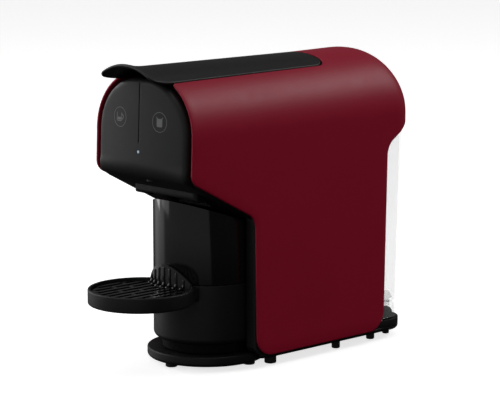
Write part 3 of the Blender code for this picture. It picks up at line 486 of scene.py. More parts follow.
# %% The casing's measures
WALL = 0.0022
LIP = WALL / 2
HALF_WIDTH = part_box("outer_shell")[1].x
REAR_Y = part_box("outer_shell")[1].y - COLUMN_Y
CASING_BOTTOM_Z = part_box("outer_shell")[0].z
ARCH_POWER, DOME_POWER, CORNER_POWER = 2.12, 2.85, 2.18
SPRING_Z, CROWN_Z = 0.196, 0.2478
CROWN_SLOPE, CROWN_FROM_Y = 0.012, -0.068
DOME_START_Y, CORNER_RADIUS = 0.1535, 0.024
HEAD_FRONT_Y, HEAD_LEAN, LEAN_FROM_Z = -0.0679, 0.04, 0.215
UNDERSIDE_Z, UNDERSIDE_Y, UNDERSIDE_SLOPE = 0.1531, -0.0511, -0.52


def superellipse(t, power):
    return max(0.0, 1 - t**power) ** (1 / power)


def crown_z(y, inset=0.0):
    top = CROWN_Z + CROWN_SLOPE * (y - CROWN_FROM_Y) - inset
    t = min(1.0, max(0.0, (y - DOME_START_Y) / (REAR_Y - inset - DOME_START_Y)))
    return SPRING_Z + (top - SPRING_Z) * superellipse(t, DOME_POWER)


def half_width(y, inset=0.0):
    t = min(1.0, max(0.0, (y - REAR_Y + CORNER_RADIUS) / (CORNER_RADIUS - inset)))
    return HALF_WIDTH - CORNER_RADIUS + (CORNER_RADIUS - inset) * superellipse(t, CORNER_POWER)


def arch_z(x, y, inset=0.0):
    share = min(1.0, abs(x) / half_width(y, inset))
    return SPRING_Z + (crown_z(y, inset) - SPRING_Z) * superellipse(share, ARCH_POWER)


def head_y(z):
    return HEAD_FRONT_Y + HEAD_LEAN * (z - LEAN_FROM_Z)


def underside_z(y):
    return UNDERSIDE_Z + UNDERSIDE_SLOPE * (y - UNDERSIDE_Y)


# %% [markdown]
# To net the casing it is unrolled like a paper model: one direction runs from the
# crown down each side, the other from front to rear. Past the dome's end the
# sheet folds down into a small flat panel above the tank.

# %% Roll the sheet back up
QUARTER = 0.0885
DOME_RUN = 0.065
FOLD = DOME_START_Y + DOME_RUN
PANEL_RUN = 0.012
PANEL_LOW_Z = 0.18796 + LIP
PANEL_EDGE = QUARTER + SPRING_Z - PANEL_LOW_Z


def rolled(u, v, inset):
    """The place in the round of a point on the sheet: u across from the crown, v to the rear."""
    y = v
    if v > DOME_START_Y:
        share = min(1.0, (v - DOME_START_Y) / DOME_RUN)
        y = DOME_START_Y + (REAR_Y - inset - DOME_START_Y) * math.sin(math.pi / 2 * share)
    width, rise = half_width(y, inset), crown_z(y, inset) - SPRING_Z
    if abs(u) <= QUARTER:
        turn = math.pi / 2 * (1 - abs(u) / QUARTER)
        x = width * math.cos(turn) ** (2 / ARCH_POWER)
        z = SPRING_Z + rise * math.sin(turn) ** (2 / ARCH_POWER)
    else:
        x, z = width, SPRING_Z - (abs(u) - QUARTER)
    x = math.copysign(x, u)
    if v > FOLD and abs(u) < PANEL_EDGE - 1e-6:
        down = (v - FOLD) / (PANEL_RUN * (1 - (u / PANEL_EDGE) ** 2))
        x += (half_width(REAR_Y) * u / PANEL_EDGE - x) * down
        z += (PANEL_LOW_Z - z) * down
    return x, y, z


# %% [markdown]
# The sheet's outline follows the casing's edges, moved in by the lip's radius:
# round the lever's opening, down the head's front, along its slanted underside,
# round the side panel and up to the dome.

# %% Outline of the sheet
OPENING_X = 0.033 + LIP
OPENING_REAR_Y = 0.1078 + LIP
OPENING_CORNER, TIP_RADIUS = 0.0118, 0.0022
HIGH_Z, FAR_Y = 0.27, 0.20


def unrolled(y, z):
    v = y
    if y > DOME_START_Y:
        turn = math.asin((y - DOME_START_Y) / (REAR_Y - DOME_START_Y))
        v = DOME_START_Y + DOME_RUN * turn / (math.pi / 2)
    return QUARTER + SPRING_Z - z, v


def subdivided(outline, step):
    """The outline with points added, so that none is further than step from the next."""
    made = []
    for a, b in zip(outline, outline[1:] + outline[:1]):
        count = max(1, math.ceil(math.dist(a, b) / step))
        made += [(a[0] + (b[0] - a[0]) * k / count, a[1] + (b[1] - a[1]) * k / count) for k in range(count)]
    return made


def casing_outline():
    side = rounded(
        [
            (head_y(HIGH_Z), HIGH_Z, 0),
            (-0.0698, underside_z(-0.0698), 0.011),
            (0.0002, underside_z(0.0002), 0.013),
            (0.0021, CASING_BOTTOM_Z, 0.0175),
            (0.1534, CASING_BOTTOM_Z, 0.0176),
            (0.1569, 0.1705, 0.016),
            (0.1845, 0.1875, 0.010),
            (FAR_Y, 0.1885, 0),
            (FAR_Y, HIGH_Z, 0),
        ],
        12,
    )
    side = moved_in(subdivided(side, 0.003), LIP)
    side = [p for p in side if p[1] < SPRING_Z - 0.001 and p[0] < REAR_Y - 0.0008]
    opening_u = QUARTER * (1 - math.acos((OPENING_X / HALF_WIDTH) ** (ARCH_POWER / 2)) / (math.pi / 2))

    def front(u):
        v = HEAD_FRONT_Y
        for _ in range(4):
            v = head_y(rolled(u, v, 0)[2]) + LIP
        return v

    steps = 14
    edge = [opening_u + (QUARTER - opening_u) * k / steps for k in range(1, steps + 1)]
    right = [(0, OPENING_REAR_Y, 0), (opening_u, OPENING_REAR_Y, OPENING_CORNER)]
    right += [(opening_u, front(opening_u), TIP_RADIUS)] + [(u, front(u), 0) for u in edge]
    right = rounded(right, 8)
    right = right + [unrolled(y, z) for y, z in side] + [(PANEL_EDGE, FOLD)]
    panel = [PANEL_EDGE * (1 - k / 12) for k in range(1, 13)]
    right += [(u, FOLD + PANEL_RUN * (1 - (u / PANEL_EDGE) ** 2)) for u in panel]
    left = [(-u, v) for u, v in reversed(right) if u > 1e-9]
    return subdivided(right + left, 0.004)


def casing_spacing(u, v):
    if v > DOME_START_Y - 0.01:
        return 0.0026
    return 0.0036 if abs(u) < QUARTER * 1.05 else 0.007


shell = wall(casing_outline(), casing_spacing, lambda u, v: rolled(u, v, 0), lambda u, v: rolled(u, v, WALL))
casing = new_object("casing", shell, 60)
settle(casing, RED, "machine", ["outer_shell"])

# %% [markdown]
# The head's black moulding closes the casing at the front. It sits a little back
# and inside, so a dark groove runs round the face, and it carries the block that
# closes over the capsule bin. It is cut from simple solids, and a small bevel
# rounds its edges.

# %% Head moulding
FACE_AHEAD, FACE_INSET, HEAD_INSET = 0.0052, 0.006, 0.0026
FACE_THICK = 0.0024
GROOVE_FLOOR = 0.0048
BLOCK_HALF_WIDTH, BLOCK_FRONT_Y, BLOCK_BOTTOM_Z = 0.038, -0.047, 0.1415
SPOUT_Y = middle("coffee_spout").y - COLUMN_Y


def face_y(z):
    return head_y(z) - FACE_AHEAD


def arch_section(inset, y, bottom, steps=72):
    """The casing's arch at a place y, moved in, and closed straight down to the bottom."""
    width, rise = half_width(y, inset), crown_z(y, inset) - SPRING_Z
    ring = [(-width, y, bottom)]
    for k in range(steps + 1):
        turn = math.pi * (1 - k / steps)
        x = math.copysign(abs(math.cos(turn)) ** (2 / ARCH_POWER), math.cos(turn)) * width
        ring.append((x, y, SPRING_Z + rise * abs(math.sin(turn)) ** (2 / ARCH_POWER)))
    return ring + [(width, y, bottom)]


def head_side(front, thick, rear):
    """The head from the side, moved in by a thickness, from its front to the rear given."""
    level = 0.0008 - thick * 1.1
    return rounded(
        [
            (front(HIGH_Z) + thick, HIGH_Z, 0),
            (front(0.165) + thick, underside_z(front(0.165) + thick) - level, 0.014 - thick),
            (BLOCK_FRONT_Y, underside_z(BLOCK_FRONT_Y) - level, 0),
            (rear, underside_z(rear) - level, 0),
            (rear, HIGH_Z, 0),
        ],
        16,
    )


head = new_object("head_moulding", loft([arch_section(HEAD_INSET, y, 0.1) for y in (-0.09, 0.0)]))
keep(head, prism(head_side(lambda z: head_y(z) + GROOVE_FLOOR, 0, 0.0), -0.07, 0.07, "X"))
block = rounded(
    [
        (BLOCK_FRONT_Y, BLOCK_BOTTOM_Z, 0.0062),
        (-0.0292, BLOCK_BOTTOM_Z, 0),
        (-0.010, underside_z(-0.010) + 0.0005, 0),
        (-0.010, 0.160, 0),
        (BLOCK_FRONT_Y, 0.160, 0),
    ]
)
spout_block = new_object("spout_block", prism(block, -BLOCK_HALF_WIDTH, BLOCK_HALF_WIDTH, "X"))
keep(spout_block, prism(plan(BLOCK_HALF_WIDTH, (BLOCK_FRONT_Y, 0.02), 0.004, 0.001, 8), 0.1, 0.2, "Z"))
add(head, spout_block)
hollow = new_object("hollow", loft([arch_section(FACE_INSET + FACE_THICK, y, 0.1) for y in (-0.09, 0.02)]))
keep(hollow, prism(head_side(face_y, FACE_THICK, 0.01), -0.07, 0.07, "X"))
combine(head, hollow)
combine(head, box((-0.07, 0.07), (-0.0656, 0.02), (0.228, 0.28)))
combine(head, box((-0.034, 0.034), (-0.1, 0.02), (0.2375, 0.28)))
combine(head, box((-0.022, 0.022), (-0.0455, -0.0125), (0.12, 0.175)))
combine(head, rod(0.0065, 0.14, 0.18, y=SPOUT_Y))
settle(soften(head, 0.0007), BLACK, "machine", ["front_housing"])

# %% [markdown]
# The face is one smooth skin that comes down the front, turns under the chin and
# runs back to the block. It bulges a little and its edge is well rounded. A slit
# splits its upper part into two press zones that flex inwards. So the skin is made
# as two halves, one for each press zone, and below the slit the halves meet
# without a seam.

# %% The face's path from top to block
FACE_EDGE = HALF_WIDTH - FACE_INSET
EDGE_ROUND, SLIT_ROUND = 0.0040, 0.0004
FACE_BULGE, BULGE_AT = 0.0031, 0.049
SLIT_HALF, SLIT_LOW_Z = 0.00035, 0.1905
FACE_TOP_Z = 0.2416
CHIN_DROP, CHIN_FADE = 0.0011, 0.012
chin = (face_y(0.165), underside_z(face_y(0.165)) - CHIN_DROP, 0.014)
face_line = rounded([(face_y(HIGH_Z), HIGH_Z, 0), chin, (-0.0462, underside_z(-0.0462) - CHIN_DROP, 0)], 28)
face_line[0] = (face_y(FACE_TOP_Z), FACE_TOP_Z)
FACE_LENGTHS = [0.0]
for a, b in zip(face_line, face_line[1:]):
    FACE_LENGTHS.append(FACE_LENGTHS[-1] + math.dist(a, b))
FACE_RUN = FACE_LENGTHS[-1]
CHIN_START = FACE_LENGTHS[1]


def on_line(s):
    s = min(max(s, 0.0), FACE_RUN)
    k = min(int(np.searchsorted(FACE_LENGTHS, s, side="right")) - 1, len(face_line) - 2)
    share = (s - FACE_LENGTHS[k]) / (FACE_LENGTHS[k + 1] - FACE_LENGTHS[k])
    return Vector(face_line[k]).lerp(Vector(face_line[k + 1]), share)


def inward(s):
    along = (on_line(s + 0.0012) - on_line(s - 0.0012)).normalized()
    return Vector((-along.y, along.x))


def down_to(z):
    return (FACE_TOP_Z - z) * math.hypot(1, HEAD_LEAN)


def on_face(x, s, depth=0.0):
    """A point of the face, from its distance across, down its path, and below its skin."""
    fade = 1 - min(1.0, max(0.0, (s - CHIN_START) / CHIN_FADE))
    depth += FACE_BULGE * (x / BULGE_AT) ** 2 * fade
    point = on_line(s) + inward(s) * depth
    return x, point.x, point.y


# %% [markdown]
# A half is drawn flat: across, and down the path. The round of its edge comes from
# each point's distance to the rim, so the net needs no extra shape there.

# %% Halves of the face
SLIT_END = down_to(SLIT_LOW_Z)


def half_outline():
    points = [(SLIT_HALF, down_to(FACE_TOP_Z) + 0.0004)]
    steps = 40
    for k in range(1, steps + 1):
        turn = math.pi / 2 * (1 - k / steps)
        x = FACE_EDGE * math.cos(turn) ** (2 / ARCH_POWER)
        z = SPRING_Z + (CROWN_Z - FACE_INSET - SPRING_Z) * math.sin(turn) ** (2 / ARCH_POWER)
        if x > SLIT_HALF + 0.002:
            points.append((x, down_to(min(z, FACE_TOP_Z - 0.0004))))
    points += [(FACE_EDGE, FACE_RUN), (0.0, FACE_RUN), (0.0, SLIT_END + SLIT_HALF), (SLIT_HALF, SLIT_END)]
    return points


def rounding(distance, radius):
    return radius - math.sqrt(max(0.0, radius**2 - max(0.0, radius - distance) ** 2))


RIM_LINE = [p for p in half_outline() if p[0] > SLIT_HALF + 0.001]


def rim_distance(x, s):
    best = 1.0
    for a, b in zip(RIM_LINE, RIM_LINE[1:]):
        run = (b[0] - a[0], b[1] - a[1])
        share = ((x - a[0]) * run[0] + (s - a[1]) * run[1]) / (run[0] ** 2 + run[1] ** 2)
        share = min(1.0, max(0.0, share))
        best = min(best, math.hypot(x - a[0] - share * run[0], s - a[1] - share * run[1]))
    return best


def face_half(name, side, body):
    def outer(x, s):
        depth = rounding(rim_distance(x, s), EDGE_ROUND)
        if s < SLIT_END + SLIT_HALF:
            depth += rounding(x - SLIT_HALF, SLIT_ROUND)
        across, y, z = on_face(x, s, depth)
        return side * across, y, z

    def inner(x, s):
        depth = FACE_THICK + rounding(rim_distance(x, s), EDGE_ROUND)
        across, y, z = on_face(x, s, depth)
        return side * across, y, z

    outline = subdivided(half_outline(), 0.0022)
    bands = (0.00015, 0.0004, 0.0009, 0.0017, 0.0028, 0.0040)
    made = new_object(name, wall(outline, 0.003, outer, inner, bands, rim=1), 50)
    hinge = (0, face_y(SLIT_LOW_Z) + COLUMN_Y, SLIT_LOW_Z)
    start, end = (Vector(hinge) + Vector((0, 0, dz)) for dz in (-0.003, 0.007))
    return settle(made, FACE, ("machine", body, start, end), [f"button_{name[5:]}"])


face_half("face_left", -1, "left_button")
face_half("face_right", 1, "right_button")

# %% [markdown]
# Each press zone carries a printed symbol: a ring, and inside it a small cup for
# the short coffee or a tall glass for the long one. They are thin raised prints,
# laid on the face by the same path function, so that they follow its curve.

# %% Printed symbols
ICON_X, ICON_Z = 0.024, 0.2085
PRINT_HEIGHT = 0.00006
RING_RADIUS = 0.0081


def printed(outline, side):
    """A flat outline (right, up) about a symbol's middle, laid on the face."""
    def lay(depth):
        return [on_face(side * ICON_X + a, down_to(ICON_Z + b), depth) for a, b in outline]

    return loft([lay(-PRINT_HEIGHT), lay(0.00005)])


def ring(radius, width, steps=64, start=0.0, sweep=math.tau):
    """A ring, or an arc of one, as an outline that goes out and comes back."""
    turns = [start + sweep * k / steps for k in range(steps + 1)]
    outer = [(radius * math.cos(t), radius * math.sin(t)) for t in turns]
    return outer + [((radius - width) * math.cos(t), (radius - width) * math.sin(t)) for t in reversed(turns)]


def shifted(outline, a, b):
    return [(x + a, y + b) for x, y in outline]


def symbol(name, side, outlines, body):
    shapes = [printed(ring(RING_RADIUS, 0.00042, sweep=math.tau * 0.9995), side)]
    shapes += [printed(outline, side) for outline in outlines]
    return settle(new_object(name, joined(*shapes)), PRINT, body)


outside = [(-0.0042, 0.0036, 0), (-0.0042, -0.0036, 0.0016), (0.0024, -0.0036, 0.0016), (0.0024, 0.0036, 0)]
inside = [(0.0017, 0.0036, 0), (0.0017, -0.0029, 0.0011), (-0.0035, -0.0029, 0.0011), (-0.0035, 0.0036, 0)]
cup = rounded(outside + inside, 5)
coffee = [(-0.0030, -0.0002, 0), (-0.0030, -0.0024, 0.0007), (0.0012, -0.0024, 0.0007), (0.0012, -0.0002, 0)]
handle = shifted(ring(0.0023, 0.0008, 20, -math.pi / 2, math.pi), 0.0024, 0.0003)
symbol("symbol_short", -1, [cup, rounded(coffee, 4), handle], "left_button")
glass = [(-0.0031, 0.0026, 0), (-0.0031, -0.0038, 0.0010), (0.0031, -0.0038, 0.0010), (0.0031, 0.0026, 0)]
glass += [(0.0038, 0.0040, 0), (0.0033, 0.0042, 0), (0.0020, 0.0028, 0)]
glass += [(-0.0020, 0.0028, 0), (-0.0033, 0.0042, 0), (-0.0038, 0.0040, 0)]
symbol("symbol_long", 1, [rounded(glass, 4)], "right_button")

# %% [markdown]
# Below the slit a small light guide ends in a dome that glows a cool white.

# %% Status light
LIGHT_Z, LIGHT_RADIUS, LIGHT_DEPTH, LIGHT_DOME = 0.1824, 0.00125, 0.006, 0.00045
GLOW = finish("status_glow", (0.42, 0.50, 0.58), 0.30, 0.02, 0.02, 900, 0.000005, Emission_Strength=0.35)
GLOW.node_tree.nodes["Principled BSDF"].inputs["Emission Color"].default_value = (0.30, 0.42, 0.55, 1)
lamp_y = on_face(0, down_to(LIGHT_Z))[1]
dome = [(0, LIGHT_DEPTH), (LIGHT_RADIUS, LIGHT_DEPTH), (LIGHT_RADIUS, 0.0002)]
dome += [(LIGHT_RADIUS * math.cos(t), -LIGHT_DOME * math.sin(t)) for t in (0.3, 0.7, 1.1)]
dome += [(0, -LIGHT_DOME)]
lamp = new_object("status_light", turned(dome, 0, lamp_y, LIGHT_Z, 32, "Y"))
settle(lamp, GLOW, "machine", ["light_guide"])

# %% [markdown]
# The lever lies on the crown like a long leaf. Its front end flares up into a lip
# for the fingers, and a half-round rim runs all round it.

# %% Lever
LEVER_HALF_WIDTH, LEVER_FRONT_Y, LEVER_REAR_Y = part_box("lever")[1].x, -0.088, 0.107
LEVER_THICK, LEVER_RAISE, LEVER_FLARE, FLARE_START_Y = 0.0029, 0.003, 0.0039, -0.062
TIP_CORNER, END_RADIUS = 0.006, 0.011


def lever_top(x, y):
    along = min(1.0, max(0.0, (y - CROWN_FROM_Y) / (LEVER_REAR_Y - CROWN_FROM_Y)))
    raised = LEVER_RAISE * (1 - along) * (1 - (x / LEVER_HALF_WIDTH) ** 2)
    lift = max(0.0, (FLARE_START_Y - y) / (FLARE_START_Y - LEVER_FRONT_Y))
    return arch_z(x, y) + raised + LEVER_FLARE * lift**2


half = LEVER_THICK / 2
leaf = rounded(
    [
        (-LEVER_HALF_WIDTH + half, LEVER_FRONT_Y + half, TIP_CORNER - half),
        (LEVER_HALF_WIDTH - half, LEVER_FRONT_Y + half, TIP_CORNER - half),
        (LEVER_HALF_WIDTH - half, LEVER_REAR_Y - half, END_RADIUS - half),
        (-LEVER_HALF_WIDTH + half, LEVER_REAR_Y - half, END_RADIUS - half),
    ]
)
lever = wall(
    subdivided(leaf, 0.003),
    0.0036,
    lambda x, y: (x, y, lever_top(x, y)),
    lambda x, y: (x, y, lever_top(x, y) - LEVER_THICK),
    (0.001,),
    rim=8,
)
settle(new_object("lever_leaf", lever, 60), LEVER, "lever", ["lever"])

# %% [markdown]
# As the lever comes up, its rear end turns down about the axle and passes under
# the casing's crown. The casing is relieved there by the room that the end sweeps.

# %% Room for the lever's rear end
AXLE = middle("lever_axle") - Vector((0, COLUMN_Y, 0))
SWING_GAP = 0.0004
sweep = []
for k in range(33):
    x = (LEVER_HALF_WIDTH + SWING_GAP) * (k / 16 - 1)
    corner = max(0.0, abs(x) - (LEVER_HALF_WIDTH - END_RADIUS))
    rear = LEVER_REAR_Y - END_RADIUS + math.sqrt(max(0.0, END_RADIUS**2 - corner**2))
    radius = math.hypot(rear - AXLE.y, lever_top(x, rear) - AXLE.z) + SWING_GAP
    turns = [math.tau * i / 64 for i in range(64)]
    sweep.append([(x, AXLE.y + radius * math.cos(a), AXLE.z + radius * math.sin(a)) for a in turns])
combine(casing, loft(sweep))
print("casing after the lever's room:", len(casing.data.polygons), "faces")

# %% [markdown]
# Between the side panels stands the inner frame. Only its front shows, as a black
# band with a rounded edge beside the round column. It is cut like the CAD frame,
# with finer arcs and a generous bevel.

# %% Inner frame
FRAME_HALF_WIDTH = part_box("chassis")[1].x
FRAME_FRONT_Y, FRAME_REAR_Y, FRAME_TOP_Z = 0.0015, 0.1215, 0.168
COLUMN_RADIUS, RECESS_RADIUS = 0.0446, 0.0462
DISC_RADIUS, DISC_LOW_Z, DISC_HIGH_Z = 0.050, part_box("base_disc")[0].z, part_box("base_disc")[1].z
GAP = 0.0003
SCREWS = [middle(f"base_screw_{n}") - Vector((0, COLUMN_Y, 0)) for n in (1, 2, 3, 4)]


FRAME_CORNER, FRAME_CUT_Y = 0.010, 0.1485
frame_side = rounded(
    [
        (-0.01, underside_z(-0.01) - 0.0002, 0),
        (FRAME_FRONT_Y, underside_z(FRAME_FRONT_Y) - 0.0002, FRAME_CORNER),
        (FRAME_FRONT_Y, CASING_BOTTOM_Z, FRAME_CORNER),
        (FRAME_CUT_Y, CASING_BOTTOM_Z, 0.006),
        (FRAME_CUT_Y, 0.2, 0),
        (-0.01, 0.2, 0),
    ]
)
footprint = plan(FRAME_HALF_WIDTH, (FRAME_FRONT_Y, FRAME_REAR_Y), 0.003, 0.003, 6)
chassis = new_object("inner_frame", prism(footprint, 0, FRAME_TOP_Z, "Z"))
keep(chassis, prism(frame_side, -0.07, 0.07, "X"))
footprint = plan(FRAME_HALF_WIDTH - WALL, (FRAME_FRONT_Y + WALL, FRAME_REAR_Y - WALL), 0.002, 0.002, 4)
room = new_object("room", prism(footprint, 0, 0.2, "Z"))
combine(room, rod(RECESS_RADIUS + WALL, -0.01, 0.21, steps=96))
combine(chassis, room)
add(chassis, joined(*[rod(0.0048, CASING_BOTTOM_Z + 0.0005, 0.034, p.x, p.y, steps=32) for p in SCREWS]))
combine(chassis, joined(*[rod(0.0018, 0, 0.030, p.x, p.y, steps=24) for p in SCREWS]))
combine(chassis, rod(RECESS_RADIUS, -0.01, 0.21, steps=128))
combine(chassis, rod(DISC_RADIUS + 0.0004, 0, DISC_HIGH_Z + GAP, steps=96))
combine(chassis, rod(0.0034, 0.1, 0.13, 0.0290, 0, 0.0135, 24, "Y"))
settle(soften(chassis, 0.0008), BLACK, "machine", ["chassis"])

# %% [markdown]
# The base plate closes the bottom, and its keel is rounded. Behind, above it, a deck
# holds the socket for the tank and makes the black foot of the machine's rear.

# %% Base plate
BASE_LOW_Z, DECK_HIGH_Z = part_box("base_plate")[0].z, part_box("base_plate")[1].z
BASE_HALF_WIDTH, REAR_CORNER, DECK_RISE, SOCKET_FLOOR_Z = 0.0562, 0.026, 0.0042, 0.0095
TANK_FRONT_Y, TANK_REAR_Y = 0.1255, 0.190
GLAND = middle("cord_gland") - Vector((0, COLUMN_Y, 0))
keel = [(0.0022, 0.0), (0.0011, 0.0004), (0.0004, 0.0012), (0.0001, 0.0022), (0.0, 0.0030)]
rings = []
for inset, rise in keel:
    reach = (0.008 + inset, TANK_REAR_Y - inset)
    footprint = plan(BASE_HALF_WIDTH - inset, reach, 0.010 - inset, REAR_CORNER - inset, 14)
    rings.append([(x, y, BASE_LOW_Z + rise) for x, y in footprint])
base = new_object("base", loft(rings))
deck = plan(BASE_HALF_WIDTH, (TANK_FRONT_Y - 0.0035, TANK_REAR_Y), 0.004, REAR_CORNER, 14)
add(base, prism(deck, BASE_LOW_Z + DECK_RISE, DECK_HIGH_Z, "Z"))
socket = plan(0.0537, (TANK_FRONT_Y + 0.001, TANK_REAR_Y - 0.0021), 0.003, 0.0239, 14)
combine(base, prism(socket, SOCKET_FLOOR_Z, 0.03, "Z"))
combine(base, box((0.0260, 0.0335), (0.10, 0.13), (0.0098, 0.03)))
combine(base, rod(DISC_RADIUS + 0.0004, 0, 0.02, steps=96))
combine(base, box((-0.052, 0.052), (-0.02, 0.0125), (0, 0.02)))
combine(base, joined(*[rod(0.0018, 0, 0.02, p.x, p.y, steps=24) for p in SCREWS]))
combine(base, joined(*[rod(0.0034, 0, 0.0086, p.x, p.y, steps=32) for p in SCREWS]))
combine(base, rod(0.0039, 0.18, 0.2, GLAND.x, 0, GLAND.z, 32, "Y"))
settle(soften(base, 0.0006), BLACK, "machine", ["base_plate"])

# %% [markdown]
# The round base disc and the neck on it are turned shapes. Every profile below is
# a short list of radius and height, and arcs in it are worked out.

# %% Disc, neck, feet and gland
def arc(a, b, radius, start, end, steps=8):
    """Points on an arc about (a, b), from one angle to another in degrees."""
    turns = [math.radians(start + (end - start) * k / steps) for k in range(steps + 1)]
    return [(a + radius * math.cos(t), b + radius * math.sin(t)) for t in turns]


edge, lip = 0.0034, 0.0011
profile = [(0, DISC_LOW_Z)] + arc(DISC_RADIUS - edge, DISC_LOW_Z + edge, edge, -90, 0)
profile += arc(DISC_RADIUS - lip, DISC_HIGH_Z - lip, lip, 0, 90) + [(DISC_RADIUS - 0.0030, DISC_HIGH_Z)]
profile += [(DISC_RADIUS - 0.0042, DISC_HIGH_Z - 0.0006), (0, DISC_HIGH_Z - 0.0006)]
disc = new_object("round_base", turned(profile, steps=160))
settle(disc, BLACK, "machine", ["base_disc"])
low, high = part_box("pedestal")[0].z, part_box("pedestal")[1].z
profile = [(0, low), (0.0370, low)] + arc(0.0370, high - 0.001, 0.001, 0, 90, 4) + [(0, high)]
neck = new_object("neck", turned(profile, steps=128))
# The neck's black is painted shade, darker than the black round it.
settle(neck, PAINTED_SHADE_BLACK, "machine", ["pedestal"])
for name in [name for name in sorted(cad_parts) if name.startswith("foot_")]:
    at, high = middle(name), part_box(name)[1].z
    radius = (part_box(name)[1].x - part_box(name)[0].x) / 2
    profile = [(0, 0)] + arc(radius - 0.001, 0.001, 0.001, -90, 0, 5)
    profile += arc(radius - 0.0005, high - 0.0005, 0.0005, 0, 90, 3) + [(0, high)]
    foot = turned(profile, at.x, at.y - COLUMN_Y, steps=40)
    settle(new_object(name.replace("foot", "rubber_foot"), foot), RUBBER, "machine", [name])
profile = [(0, -0.0017), (0.0036, -0.0017), (0.0036, 0.0006), (0.0046, 0.0006)]
profile += arc(0.0040, 0.0011, 0.0006, 0, 90, 4) + arc(0.0022, 0.0011, 0.0006, 90, 180, 4)
profile += [(0.0016, 0.0004), (0, 0.0004)]
gland = turned(profile, GLAND.x, TANK_REAR_Y - 0.0002, GLAND.z, 40, "Y")
settle(new_object("cord_outlet", gland), RUBBER, "machine", ["cord_gland"])

# %% [markdown]
# The column comes out as one drawer: a plain container for drips below, and a
# polished smoked bin for used capsules above, with a slanted rim that slides under
# the head.

# %% Drip container and capsule bin
CONTAINER_LOW_Z, CONTAINER_HIGH_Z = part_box("drip_container")[0].z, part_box("drip_container")[1].z
r, t, low, high = COLUMN_RADIUS, 0.0020, CONTAINER_LOW_Z, CONTAINER_HIGH_Z
foot_edge, top_edge, inner_edge = 0.005, 0.0007, 0.003
profile = [(0, low)] + arc(r - foot_edge, low + foot_edge, foot_edge, -90, 0, 12)
profile += arc(r - top_edge, high - top_edge, top_edge, 0, 90, 4)
profile += arc(r - t + top_edge, high - top_edge, top_edge, 90, 180, 4)
profile += arc(r - t - inner_edge, low + t + inner_edge, inner_edge, 0, -90, 6) + [(0, low + t)]
container = new_object("drip_cup", turned(profile, steps=160))
settle(container, BLACK, "drawer", ["drip_container"])

BIN_FLOOR_Z, BIN_FRONT_Z, BIN_SLOPE, BIN_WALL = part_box("capsule_bin")[0].z, 0.1395, -0.36, 0.0018
spigot = r - t - GAP
shoulder = high + GAP
profile = [(0, BIN_FLOOR_Z), (spigot - 0.001, BIN_FLOOR_Z)]
profile += arc(spigot - 0.001, BIN_FLOOR_Z + 0.001, 0.001, -90, 0, 3)
profile += [(spigot, shoulder), (r - 0.0006, shoulder)]
profile += arc(r - 0.0006, shoulder + 0.0006, 0.0006, -90, 0, 4)
bin_ = new_object("smoked_bin", turned(profile + [(r, 0.15), (0, 0.15)], steps=160))
rim = [(y, BIN_FRONT_Z + BIN_SLOPE * (y + r)) for y in (-0.06, 0.06)]
keep(bin_, prism([(-0.06, 0), (0.06, 0), rim[1], rim[0]], -0.06, 0.06, "X"))
combine(bin_, rod(spigot - BIN_WALL, BIN_FLOOR_Z + 0.0018, 0.2, steps=160))
settle(soften(bin_, 0.0004, 2, 50), GLOSS, "drawer", ["capsule_bin"])

# %% [markdown]
# The cup stands on a tray that sits against the container: a round dish with a rim,
# and in it a slotted grate. At its back the grate curves up into a fan that keeps
# splashes off the column, and ribs run up the fan.

# %% Cup tray
TRAY_Y, TRAY_RADIUS, TRAY_WALL = -0.0727, 0.0433, 0.0028
TRAY_LOW_Z, TRAY_RIM_Z, GRATE_TOP_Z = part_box("cup_tray")[0].z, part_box("cup_tray")[1].z, 0.0690
r, t, low, high = TRAY_RADIUS, TRAY_WALL, TRAY_LOW_Z, TRAY_RIM_Z
profile = [(0, low)] + arc(r - 0.0016, low + 0.0016, 0.0016, -90, 0, 6)
profile += arc(r - 0.0012, high - 0.0012, 0.0012, 0, 90, 6)
profile += arc(r - t + 0.0012, high - 0.0012, 0.0012, 90, 180, 6)
profile += [(r - t, low + 0.002), (0, low + 0.002)]
tray = new_object("cup_tray_dish", turned(profile, 0, TRAY_Y, steps=160))
add(tray, prism(plan(0.0285, (-0.047, -0.030), 0.002, 0.002, 4), low, high - 0.0012, "Z"))
combine(tray, turned([(0, low + 0.002), (r - t, low + 0.002), (r - t, 0.1), (0, 0.1)], 0, TRAY_Y, steps=160))
guard_room = new_object("guard_room", rod(COLUMN_RADIUS + 0.0036, 0.0658, 0.1, steps=128))
keep(guard_room, box((-0.0266, 0.0266), (-0.07, 0), (0, 0.2)))
combine(tray, guard_room)
combine(tray, rod(COLUMN_RADIUS + 0.0004, 0, 0.1, steps=160))
settle(soften(tray, 0.0003, 2, 50), BLACK, "tray", ["cup_tray"])

# %% [markdown]
# The grate is one plate with rows of slots cut through it, and the fan is lofted
# across the column's front. Seven ribs stand on the fan, each with a curved foot.

# %% Grate with its fan
FAN_RADIUS, FAN_THICK = COLUMN_RADIUS + 0.0008, 0.0022
FAN_HALF_WIDTH, FAN_RISE, FAN_REACH, FAN_POWER = 0.0246, 0.0153, 0.0248, 2.2
SLOT_PITCH, SLOT_HALF, BRIDGE_HALF, BRIDGE_SHIFT = 0.0078, 0.0022, 0.0015, 0.008
RIB_SPREAD, RIB_HALF, RIB_DEPTH, RIB_FOOT = 0.82, 0.0011, 0.0009, 0.0030


def fan_z(x):
    return TRAY_RIM_Z + FAN_RISE * max(0.0, 1 - min(1.0, abs(x) / FAN_REACH) ** FAN_POWER)


